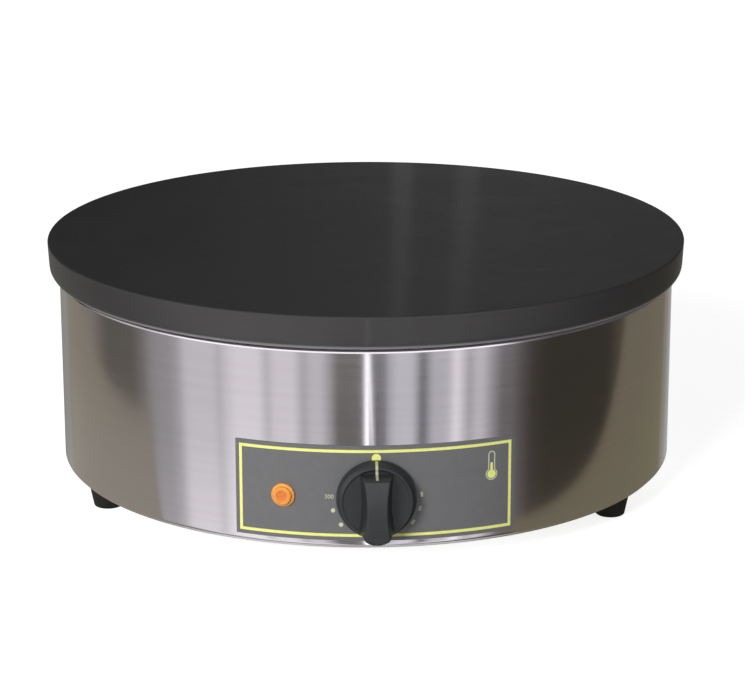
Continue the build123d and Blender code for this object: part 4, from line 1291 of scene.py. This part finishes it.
    def sign_filling(self) -> Piece:
        """The yellow column and bulb inside the sign.

        Returns:
            The flat filling.
        """
        gap = self.filling_gap * self.outline_width
        tall = (self.sign_high - self.bulb_y) * self.filling_height
        column = self.bar(self.tube_width - 2 * gap, tall, (self.sign_shift, self.bulb_y + tall / 2))
        ball = self.disc(self.bulb_width / 2 - gap * self.ball_gap, (self.sign_shift, self.bulb_y))
        return combined(column, ball, Cut.ADD)

    def number(self) -> Piece:
        """The plain number at the hot end of the scale.

        Returns:
            The flat number.
        """
        bpy.ops.object.text_add()
        text = bpy.context.object.data
        text.body = "300"
        text.size = self.number_size
        text.extrude = self.ink / 2
        text.align_x = text.align_y = "CENTER"
        bpy.ops.object.convert(target="MESH")
        return placed(bpy.context.object, Matrix.Translation((*self.number_at, self.ink / 2)))

    def round_the_knob(self, bearing: float) -> Point:
        """The flat place of a scale mark, by its bearing clockwise from the knob's top."""
        across, down = on_circle(self.scale_radius, bearing)
        return across, self.control - down

    def dash(self, bearing: float) -> Piece:
        """One dash of the scale, which points at the knob's axis.

        Args:
            bearing: its bearing clockwise from the knob's top.

        Returns:
            The flat dash.
        """
        bar = self.bar(self.dash_length, self.dash_width, rounding=self.dash_round)
        place = Matrix.Translation((*self.round_the_knob(bearing), 0))
        return placed(bar, place @ Matrix.Rotation(math.radians(-bearing), 4, "Z"))

    def build(self) -> None:
        """Builds the film and both inks."""
        self.build_film()
        dot = self.disc(self.dot_radius, (0, self.dot_lift), sides=48)
        self.printed("label_yellow_print", [self.border(), dot, self.sign_filling()], YELLOW_INK)
        dashes = [self.dash(bearing) for bearing in self.dash_bearings]
        spots = [self.disc(self.spot_radius, self.round_the_knob(bearing)) for bearing in self.spot_bearings]
        self.printed("label_pale_print", [*dashes, *spots, self.hollow_sign(), self.number()], PALE_INK)


@dataclass
class PilotLamp:
    """The orange lens of the pilot lamp."""

    lens_radius: float = 7.0 * MM
    flange: float = 1.2 * MM
    wall: float = 1.2 * MM
    neck: float = 4.0 * MM
    height: float = 3.6 * MM
    edge_round: float = 1.3 * MM
    neck_radius: float = 3.8 * MM
    dish: float = 0.5 * MM
    dish_radius: float = 3.4 * MM
    dish_floor: float = 0.7
    dish_round: float = 0.4 * MM
    gap: float = 0.05 * MM

    def build(self) -> None:
        """Turns the lens and sets it on the label."""
        middle = middle_of("pilot_lamp_lens")
        crown = self.lens_radius - self.wall
        lens = turned("pilot_lens", [
            (0, -self.neck, 0), (self.neck_radius, -self.neck, 0), (self.neck_radius, 0, 0),
            (self.lens_radius, 0, 0), (self.lens_radius, self.flange, self.wall / 2),
            (crown, self.flange + self.wall / 2, 0), (crown - self.wall / 2, self.height, self.edge_round),
            (self.dish_radius, self.height, self.dish_round),
            (self.dish_radius * self.dish_floor, self.height - self.dish, self.dish_round),
            (0, self.height - self.dish, 0),
        ], sides=72)
        seat = -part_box("control_label")[0].y + self.gap
        placed(lens, on_wall(seat, bearing_of(middle), middle.z))
        face = on_wall(seat + self.height / 2, bearing_of(middle), middle.z).translation
        finish = replace(LAMP_LENS, middle=tuple(face), reach=self.lens_radius + self.height / 4)
        fitted(lens, finish, "lamp_lens", "pilot_lamp_lens")


@dataclass
class ThermostatKnob:
    """The moulded knob: round skirt, grip bar, hub and back cavity."""

    lift: float = 2.0 * MM
    radius: float = 23.4 * MM
    rim_radius: float = 22.4 * MM
    rim: float = 6.0 * MM
    ridge_radius: float = 20.4 * MM
    ridge: float = 8.0 * MM
    dish: float = 0.7 * MM
    dish_round: float = 0.8 * MM
    edge_round: float = 0.9 * MM
    foot_round: float = 0.36 * MM
    wall: float = 2.4 * MM
    hub_radius: float = 6.5 * MM
    hub_depth: float = 14.0 * MM
    bore_radius: float = 3.05 * MM
    grip_height: float = 21.98 * MM
    grip_reach: float = 16.2 * MM
    top_width: float = 13.6 * MM
    waist_width: float = 11.6 * MM
    nose_width: float = 15.0 * MM
    nose_tip: float = 21.2 * MM
    nose_turn: float = 18.4 * MM
    nose_drop: float = 2.2 * MM
    flare: float = 3.0 * MM
    end_flare: float = 0.3
    brow: float = 5.0 * MM
    crest: float = -1.0 * MM
    grip_round: float = 1.1 * MM
    grip_angle: float = 38.0
    pointer_width: float = 1.6 * MM
    pointer_depth: float = 0.5 * MM
    pointer_low: float = 3.5 * MM
    pointer_high: float = 18.5 * MM
    flank_points: int = 43
    nose_points: int = 25
    corner_points: int = 3
    crown_points: int = 18

    def __post_init__(self) -> None:
        """Works out the heights that follow from the fields."""
        self.rim_top = self.lift + self.rim
        self.ridge_top = self.lift + self.ridge
        self.face = self.ridge_top - self.dish
        self.front = self.lift + self.grip_height
        self.hub_top = self.lift + self.hub_depth

    def skirt(self) -> Piece:
        """The skirt with its back cavity, its hub and the hub's bore.

        Returns:
            The turned skirt.
        """
        cavity, cavity_radius = self.face - self.wall, self.rim_radius - self.wall
        return turned("knob", [
            (0, self.hub_top, 0), (self.bore_radius, self.hub_top, 0), (self.bore_radius, self.lift, 0),
            (self.hub_radius, self.lift, 0), (self.hub_radius, cavity, 0), (cavity_radius, cavity, 0),
            (cavity_radius, self.lift, 0), (self.radius, self.lift, self.foot_round),
            (self.rim_radius, self.rim_top, self.edge_round),
            (self.ridge_radius, self.ridge_top, self.edge_round),
            (self.ridge_radius - 2 * self.dish, self.face, self.dish_round),
            (self.hub_radius, self.face, 0), (self.hub_radius, self.hub_top + self.wall, 0),
            (0, self.hub_top + self.wall, 0),
        ], steps=7, sides=144)

    def grip_outline(self, flare: float) -> list[Point]:
        """The grip's outline: straight brow, waisted flanks and blunt nose.

        Args:
            flare: how far it is widened.

        Returns:
            The outline's points, counter-clockwise.
        """
        top = self.grip_reach + flare * self.end_flare
        nose, turn = -self.nose_tip - flare * self.end_flare, -self.nose_turn
        widths = (self.top_width, self.waist_width, self.nose_width)
        top_half, waist_half, nose_half = (width / 2 + flare for width in widths)
        middle = (waist_half, (top + turn) / 2)
        flank = arc_points((top_half, top), middle, (nose_half, turn), self.flank_points)
        front = arc_points((nose_half, turn), (0, nose), (-nose_half, turn), self.nose_points)
        spare = self.corner_points
        flank, front = flank[:-spare], front[spare : len(front) // 2 + 1]
        half = flank + eased(flank[-1], (nose_half, turn), front[0], 2 * spare) + front
        left = [(-x, y) for x, y in reversed(half[:-1])]
        # Up to here it runs clockwise from the brow's right end, and a slab wants it the other way.
        return list(reversed(half + left))

    def side_view(self) -> list[Point]:
        """The grip from the side: it slopes back at the brow and at the nose.

        Returns:
            The outline's points, as (out, up).
        """
        foot = self.face - 2 * PAST
        brow = self.grip_reach + self.flare
        nose = -self.radius - self.flare
        start = (self.front - self.brow, brow)
        end = (self.front - self.nose_drop, nose)
        crown = arc_points(start, (self.front, self.crest), end, self.crown_points)
        return [(foot, brow), *crown, (foot, nose)]

    def grip(self) -> Piece:
        """The grip bar, shaped by its outline and its side view, with soft edges.

        Returns:
            The bar.
        """
        low, high = self.grip_outline(self.flare), self.grip_outline(0.0)
        bar = slab(low, self.face - PAST, self.front + PAST, high)
        # The side view is drawn with x outwards and y up, then stood on edge across the bar.
        across = Matrix(((0, 0, 1, 0), (0, 1, 0, 0), (1, 0, 0, 0), (0, 0, 0, 1)))
        envelope = outwards(placed(slab(self.side_view(), -self.radius, self.radius), across))
        combined(bar, envelope, Cut.KEEP_COMMON)
        return applied(
            bar, "BEVEL", width=self.grip_round, segments=4, limit_method="ANGLE",
            angle_limit=math.radians(self.grip_angle), use_clamp_overlap=False,
        )

    def pointer_groove(self, knob: Piece) -> Piece:
        """The cutter of the pointer's groove, which follows the knob's own skin from rim to brow.

        Args:
            knob: the knob without its groove.

        Returns:
            A bar less a copy of the knob that is sunk down and inwards by the groove's depth.
        """
        tall, start = self.pointer_high - self.pointer_low, self.grip_reach - PAST
        middle = (0, start + self.radius / 2, (self.pointer_high + self.pointer_low) / 2)
        bar = block((self.pointer_width, self.radius, tall), middle)
        sunk = placed(copied(knob), Matrix.Translation((0, -self.pointer_depth, -self.pointer_depth)))
        return combined(bar, sunk, Cut.TAKE_AWAY)

    def build(self) -> None:
        """Joins skirt and grip, cuts the pointer's groove and sets the knob on the drum."""
        knob = combined(self.skirt(), self.grip(), Cut.ADD)
        combined(knob, self.pointer_groove(knob), Cut.TAKE_AWAY)
        placed(named(knob, "moulded_knob"), on_wall(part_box("drum")[1].x, 0.0, mid_height("thermostat_shaft")))
        fitted(knob, KNOB_PLASTIC, "knob_plastic", "knob", body=Body.KNOB)


@dataclass
class CableGland:
    """The gland at the rear: hexagon body, dome nut and rubber seal."""

    flats: float = 24.0 * MM
    hex_height: float = 6.0 * MM
    bore: float = 7.5 * MM
    thread: float = 10.0 * MM
    outer_thread: float = 9.5 * MM
    inner_length: float = 12.0 * MM
    thread_reach: float = 8.4 * MM
    crown: float = 8.6 * MM
    mouth: float = 6.6 * MM
    flutes: int = 12
    flute_radius: float = 1.0 * MM
    chamfer: float = 0.5 * MM
    lip_round: float = 0.4 * MM
    gap: float = 0.05 * MM
    seal_sunk: float = 7.2 * MM
    seal_length: float = 12.0 * MM
    cable_bore: float = 5.5 * MM

    def __post_init__(self) -> None:
        """Works out the heights from the wall, and the gland's place at the rear."""
        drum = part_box("drum")[1].x
        self.place = on_wall(drum, 180.0, mid_height("gland_seal"))
        self.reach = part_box("gland_dome_nut")[1].y - drum
        self.collar_top = self.gap + self.hex_height
        self.thread_end = self.collar_top + self.thread_reach
        self.seal_low = self.thread_end - self.seal_sunk
        self.seal_top = self.seal_low + self.seal_length

    def build_body(self) -> None:
        """Builds the hexagon body with its threaded tube."""
        collar = pin(self.flats / math.sqrt(3), self.gap, self.collar_top, sides=6)
        placed(collar, Matrix.Rotation(math.pi / 6, 4, "Z"))
        applied(collar, "BEVEL", width=self.chamfer, segments=3, limit_method="ANGLE")
        inner, foot = self.bore - PAST, self.gap + PAST
        tube = turned("gland_tube", [
            (inner, -self.inner_length, 0), (self.thread, -self.inner_length, self.chamfer),
            (self.thread, foot, 0), (self.outer_thread, foot, 0),
            (self.outer_thread, self.thread_end, self.lip_round), (inner, self.thread_end, 0),
        ], sides=72)
        combined(collar, tube, Cut.ADD)
        combined(collar, pin(self.bore, -2 * self.inner_length, 2 * self.reach, sides=72), Cut.TAKE_AWAY)
        placed(named(collar, "gland_hexagon_body"), self.place)
        fitted(collar, GLAND_NYLON, "gland_plastic", "gland_body")

    def build_nut(self) -> None:
        """Builds the dome nut with its flutes."""
        foot, reach, wide = self.collar_top + self.gap, self.reach, self.flats / 2
        thread, bore = self.outer_thread + self.gap, self.bore + self.gap
        thread_end, seal_top = self.thread_end + self.gap, self.seal_top + self.gap
        nut = turned("gland_cap_nut", [
            (thread, thread_end, 0), (thread, foot, 0), (wide, foot, self.flute_radius / 2),
            (wide, (foot + reach) / 2, 3 * self.flute_radius), (self.crown, reach, self.flute_radius),
            (self.mouth, reach, self.flute_radius / 2), (self.mouth, seal_top, 0), (bore, seal_top, 0),
            (bore, thread_end, 0),
        ], steps=7)
        pitch = 360.0 / self.flutes
        spots = [on_circle(wide + self.flute_radius / 2, pitch * i) for i in range(self.flutes)]
        flute_top = reach - (reach - foot) / 4
        flutes = [pin(self.flute_radius, foot - PAST, flute_top, at, sides=16) for at in spots]
        placed(combined(nut, gathered(flutes), Cut.TAKE_AWAY), self.place)
        fitted(nut, GLAND_NYLON, "gland_plastic", "gland_dome_nut")

    def build_seal(self) -> None:
        """Builds the rubber seal."""
        outer = self.bore - self.gap
        seal = turned("gland_rubber_seal", [
            (self.cable_bore, self.seal_low, 0), (outer, self.seal_low, self.lip_round),
            (outer, self.seal_top, self.lip_round), (self.cable_bore, self.seal_top, 0),
        ], sides=64)
        fitted(placed(seal, self.place), FOOT_RUBBER, "foot_rubber", "gland_seal")

    def build(self) -> None:
        """Builds the three pieces on the drum's rear wall."""
        self.build_body()
        self.build_nut()
        self.build_seal()


@dataclass
class InnerWorks:
    """The CAD nodes that keep their own shape and only get their finish."""

    finishes: dict[Finish, tuple[str, ...]] = field(
        default_factory=lambda: {
            PLATED: (
                "plate_studs", "plate_washers", "plate_nuts", "element_pins", "clamp_stud", "clamp_washer",
                "clamp_nut", "foot_washers", "foot_screws", "foot_nuts", "base_screws", "base_nuts",
                "pilot_lamp_clip", "thermostat_screws", "thermostat_shaft", "terminal_screws",
                "block_screws", "earth_stud", "earth_nut", "pin_nuts",
            ),
            ZINC_STEEL: ("element_clamp", "heat_shield", "thermostat_bracket", "bulb_saddle"),
            CERAMIC: ("plate_spacers", "element_beads"),
            SHEATH: ("outer_heating_element", "inner_heating_element"),
            FIBRE: ("insulation_disc",),
            LAMP_PLASTIC: ("pilot_lamp_body",),
            SWITCH_PLASTIC: ("thermostat_body", "terminal_block"),
            COPPER: ("capillary_tube", "sensing_bulb"),
            BRASS: ("terminal_inserts", "element_links"),
            POINTER_PAINT: ("knob_pointer",),
            GLAND_NYLON: ("gland_lock_nut",),
            BROWN_LEAD: ("live_lead", "switched_lead"),
            BLUE_LEAD: ("neutral_lead", "lamp_leads"),
            GREEN_LEAD: ("earth_lead",),
        }
    )

    def dress(self) -> None:
        """Gives each node its finish."""
        for finish, nodes in self.finishes.items():
            for node in nodes:
                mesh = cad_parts[node].data
                mesh.materials.clear()
                mesh.materials.append(finish.material())
            log.info("%s: %s", finish.name, ", ".join(nodes))


# ---- The studio


@dataclass(frozen=True)
class Card:
    """One upright part of the room that the drum mirrors: at one bearing, or from one to another."""

    light: Colour
    start: float
    end: float | None = None


@dataclass(frozen=True)
class Tube:
    """A narrow upright light that polished parts mirror as a streak, with soft sides."""

    bearing: float
    core: float
    reach: float
    strength: float


@dataclass(frozen=True)
class TableCard:
    """A dim card on the table, which only polished parts see."""

    name: str
    corners: tuple[Point, ...]
    near: Colour
    far: Colour


@dataclass(frozen=True)
class Lamp:
    """A soft square lamp, turned to the object."""

    name: str
    place: Corner
    size: float
    watts: float


def grey(level: float, warm: float = 0.0) -> Colour:
    """A grey, made warmer by a positive share and cooler by a negative one."""
    return level * (1 + warm), level, level * (1 - warm)


ROOM_LEFT = (
    Card(grey(0.25), -180.0, -172.0), Card((0.3, 0.295, 0.275), -164.0),
    Card((0.36, 0.345, 0.31), -153.0), Card((0.3, 0.27, 0.23), -146.0, -124.0),
    Card((0.142, 0.136, 0.115), -112.0, -97.0), Card((0.235, 0.225, 0.21), -91.5),
    Card((0.36, 0.36, 0.34), -87.0), Card((0.4, 0.405, 0.4), -83.0, -79.0), Card(grey(0.5), -74.5),
    Card(grey(0.8), -70.5, -59.0), Card(grey(0.65), -56.8), Card(grey(0.84), -54.0),
    Card(grey(1.0), -50.0, -41.0), Card(grey(0.66), -37.8), Card(grey(0.92), -35.0, -28.0),
    Card(grey(0.54), -24.4), Card(grey(0.74), -21.5, -18.0), Card(grey(0.48), -15.0),
    Card((0.187, 0.185, 0.166), -12.0, -5.0), Card(grey(0.19, -0.02), -3.0, 0.0),
)
ROOM_RIGHT = (
    Card(grey(0.19, -0.03), 0.0, 2.2), Card(grey(0.26, -0.02), 4.9), Card(grey(0.56, -0.02), 6.4),
    Card(grey(0.76, -0.02), 9.5, 15.0), Card(grey(0.12, -0.02), 18.6),
    Card(grey(0.64, -0.02), 22.5, 25.5), Card(grey(0.67), 28.0), Card(grey(1.15), 31.2),
    Card(grey(0.49), 35.8), Card(grey(0.74), 39.0, 41.0), Card(grey(0.42), 44.5),
    Card(grey(0.185, 0.03), 48.6), Card(grey(0.178, 0.06), 53.0), Card(grey(0.112, 0.08), 57.0),
    Card((0.066, 0.06, 0.05), 61.5), Card((0.05, 0.046, 0.033), 68.0, 98.0),
    Card((0.11, 0.1, 0.07), 108.0, 130.0), Card((0.26, 0.24, 0.18), 144.0),
    Card((0.3, 0.28, 0.23), 152.0), Card(grey(0.42), 162.0, 180.0),
)
ROOM_ABOVE = (
    Card(grey(0.11), -180.0), Card(grey(0.0), -176.5, -130.0), Card(grey(0.9), -98.0, -88.0),
    Card(grey(1.7), -70.0, 47.0), Card(grey(0.3), 57.0, 60.0), Card(grey(0.13), 70.0, 172.0),
    Card(grey(0.25), 175.5), Card(grey(0.17), 178.0), Card(grey(0.11), 180.0),
)
WALL_TUBES = (Tube(-1.3, 0.2, 1.55, 2.15),)
HIGH_TUBES = (Tube(177.4, 0.15, 0.35, 0.42), Tube(175.8, 0.15, 0.35, 0.3))
# How bright the room is by the sine of its height: low parts are nearer the lit table.
LOW_LIGHT = (
    (-1.0, grey(1.5)), (-0.42, grey(1.4)), (-0.35, grey(1.2)), (-0.3, grey(1.0)), (0.0, grey(1.0)),
)
LAMPS = (Lamp("key_lamp", (-1.25, -2.32, 1.3), 1.0, 78.0), Lamp("rear_lamp", (1.4, 2.3, 1.0), 1.6, 16.0))
# Heights, by their sine, between which one part of the room gives way to another.
WALL_TOP = (-0.12, -0.02)
CEILING = (0.45, 0.9)
SOFT_TOP = (0.0, 0.6)


def edges_of(cards: Sequence[Card]) -> list[tuple[float, Colour]]:
    """The bearing in radians and the light of each edge of some cards, in order."""
    return [(math.radians(edge), c.light) for c in cards for edge in (c.start, c.end) if edge is not None]


@dataclass
class Studio:
    """The floor, the lights, the room that polished parts mirror, and the camera."""

    lens: float = 133.38
    sensor: float = 36.0
    distance: float = 1744.306 * MM
    elevation: float = 14.017
    pitch: float = 16.494
    yaw: float = 0.1387
    roll: float = -0.0871
    bearing: float = -1.7
    floor_size: float = 40.0
    floor_grey: float = 0.5
    floor_lift: float = 0.84
    floor_cloud: float = 3.0
    floor_mottle: float = 0.01
    ambient: tuple[float, float] = (0.46, 0.1)
    high_light: float = 0.35
    table_height: float = 0.4 * MM
    table_fade: tuple[float, float] = (0.2, 0.5)
    aim: Corner = (0.0, 0.0, 0.1)

    def build_camera(self) -> None:
        """Sets the camera up at its distance and angles from the middle of the plate's face."""
        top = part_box("griddle_plate")[1].z
        rise, pitch, yaw, roll = (math.radians(a) for a in (self.elevation, self.pitch, self.yaw, self.roll))
        place = Vector((0, -self.distance * math.cos(rise), self.distance * math.sin(rise)))
        ahead = Vector((math.sin(yaw) * math.cos(pitch), math.cos(yaw) * math.cos(pitch), -math.sin(pitch)))
        level = Vector((math.cos(yaw), -math.sin(yaw), 0))
        upright = level.cross(ahead)
        right = math.cos(roll) * level + math.sin(roll) * upright
        above = -math.sin(roll) * level + math.cos(roll) * upright
        turn = Matrix.Rotation(math.radians(self.bearing), 4, "Z")
        facing = Matrix((right, above, -ahead)).transposed().to_4x4()
        data = bpy.data.cameras.new("camera")
        data.lens = self.lens
        data.sensor_width = self.sensor
        data.clip_end = 2 * self.floor_size
        camera = bpy.data.objects.new("camera", data)
        camera.matrix_world = Matrix.Translation((0, 0, top)) @ turn @ Matrix.Translation(place) @ facing
        bpy.context.scene.collection.objects.link(camera)
        bpy.context.scene.camera = camera

    def build_floor(self) -> None:
        """Lays the pale floor: it takes the object's shadow, and the camera sees it white."""
        bpy.ops.mesh.primitive_plane_add(size=self.floor_size)
        floor = named(bpy.context.object, "floor")
        with editing(floor):
            bpy.ops.mesh.subdivide(number_cuts=4)
        graph = Paint("floor")
        rays = graph.add("ShaderNodeLightPath").outputs
        cloud = graph.noise(graph.at, self.floor_cloud)
        graph.set(
            Base_Color=graph.mottled(grey(self.floor_grey), cloud, self.floor_mottle),
            Roughness=1.0,
            Specular_IOR_Level=0.0,
            Emission_Color=(1.0, 1.0, 1.0),
            Emission_Strength=graph.sum("MULTIPLY", rays["Is Camera Ray"], self.floor_lift),
        )
        floor.data.materials.append(graph.material)
        floor.visible_glossy = False

    def build_table_card(self, card: TableCard) -> None:
        """Lays a card on the table, as the part of it that the drum's foot mirrors.

        Args:
            card: the card.
        """
        sheet = named(slab(card.corners, 0.0, self.table_height), card.name)
        graph = Paint(card.name)
        away = graph.share(graph.round_the_drum()[1], *self.table_fade)
        light = graph.mixed(away, card.near, card.far)
        black = (0.0, 0.0, 0.0)
        graph.set(Base_Color=black, Specular_IOR_Level=0.0, Emission_Color=light, Emission_Strength=1.0)
        graph.material.cycles.emission_sampling = "NONE"
        sheet.data.materials.append(graph.material)
        for rays in ("camera", "diffuse", "shadow", "transmission", "volume_scatter"):
            setattr(sheet, f"visible_{rays}", False)

    def table_cards(self) -> tuple[TableCard, TableCard]:
        """The cards that stand for the dim parts of the table, right and left of the drum.

        Returns:
            The two cards.
        """
        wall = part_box("drum")[1].x
        front, rear = on_circle(wall, 28.0), on_circle(wall, 70.5)
        right = (front, (0.1, -0.215), (1.25, 0.323), (rear[0] + 0.763, rear[1] + 1.175), rear, (0.05, -0.05))
        front, rear = on_circle(wall, -39.0), on_circle(wall, -71.0)
        left = (
            (-0.05, -0.05), rear, (rear[0] - 0.7, rear[1] + 1.1), (-0.85, 1.05), (-0.522, 0.172),
            (-0.385, -0.148), front,
        )
        return (
            TableCard("table_card_right", right, (0.236, 0.217, 0.142), (0.22, 0.2, 0.14)),
            TableCard("table_card_left", left, (0.39, 0.365, 0.3), (0.32, 0.3, 0.23)),
        )

    def build_room(self) -> None:
        """Makes the world: white to the camera, soft on dull surfaces, panelled in reflections."""
        world = bpy.data.worlds.new("room")
        bpy.context.scene.world = world
        graph = Graph(world, "Generated")
        parts = graph.add("ShaderNodeSeparateXYZ", {0: graph.at}).outputs
        arc, rise = graph.arc(parts), parts[2]
        rooms = (ROOM_LEFT, ROOM_RIGHT, ROOM_ABOVE)
        left, right, above = (graph.ramp(arc, edges_of(cards)) for cards in rooms)
        low = graph.mixed(graph.sum("GREATER_THAN", arc, 0.0), left, right)
        low = self.with_tubes(graph, arc, low, WALL_TUBES)
        above = self.with_tubes(graph, arc, above, HIGH_TUBES)
        lit = graph.vectors("MULTIPLY", low, graph.ramp(rise, LOW_LIGHT))
        panels = graph.mixed(graph.share(rise, *WALL_TOP), lit, above)
        strength = graph.sum("MULTIPLY_ADD", graph.share(rise, *CEILING), self.high_light - 1.0, 1.0)
        level, zenith = self.ambient
        fade = graph.sum("MULTIPLY_ADD", graph.share(rise, *SOFT_TOP), zenith - level, level)
        white = (1.0, 1.0, 1.0, 1.0)
        room, soft, bright = (
            graph.add("ShaderNodeBackground", {"Color": colour, "Strength": share}).outputs[0]
            for colour, share in ((panels, strength), (white, fade), (white, 1.0))
        )
        rays = graph.add("ShaderNodeLightPath").outputs
        mirrored = graph.sum("MAXIMUM", rays["Is Glossy Ray"], rays["Is Transmission Ray"])
        inner = graph.add("ShaderNodeMixShader", {0: mirrored, 1: soft, 2: room}).outputs[0]
        outer = graph.add("ShaderNodeMixShader", {0: rays["Is Camera Ray"], 1: inner, 2: bright}).outputs[0]
        graph.add("ShaderNodeOutputWorld", {"Surface": outer})

    def with_tubes(self, graph: Graph, arc: Socket, light: Socket, tubes: Sequence[Tube]) -> Socket:
        """Adds tubes to a light that runs round the room.

        Args:
            graph: the room's node tree.
            arc: the bearing in radians.
            light: the light without the tubes.
            tubes: the tubes to add.

        Returns:
            The light with the tubes.
        """
        for tube in tubes:
            away = graph.sum("ABSOLUTE", graph.sum("SUBTRACT", arc, math.radians(tube.bearing)))
            near = graph.share(away, math.radians(tube.reach), math.radians(tube.core))
            light = graph.vectors("ADD", light, graph.sum("MULTIPLY", near, tube.strength))
        return light

    def build_lamp(self, lamp: Lamp) -> None:
        """Hangs a lamp and turns it to the middle of the object.

        Args:
            lamp: the lamp.
        """
        data = bpy.data.lights.new(lamp.name, "AREA")
        data.shape = "SQUARE"
        data.size = lamp.size
        data.energy = lamp.watts
        hung = bpy.data.objects.new(lamp.name, data)
        place = Vector(lamp.place)
        facing = (Vector(self.aim) - place).to_track_quat("-Z", "Y").to_matrix().to_4x4()
        hung.matrix_world = Matrix.Translation(place) @ facing
        hung.visible_glossy = False
        bpy.context.scene.collection.objects.link(hung)

    def build(self) -> None:
        """Sets up everything round the object, the camera first."""
        self.build_camera()
        self.build_floor()
        self.build_room()
        for card in self.table_cards():
            self.build_table_card(card)
        for lamp in LAMPS:
            self.build_lamp(lamp)
        bpy.context.scene.view_settings.view_transform = "Standard"


def main() -> None:
    """Builds the studio and every sub-assembly in order."""
    logging.basicConfig(level=logging.INFO, format="%(message)s")
    Studio().build()
    for assembly in (GriddlePlate, Casing, Feet, ControlLabel, PilotLamp, ThermostatKnob, CableGland):
        assembly().build()
    InnerWorks().dress()


if __name__ == "__main__":
    main()
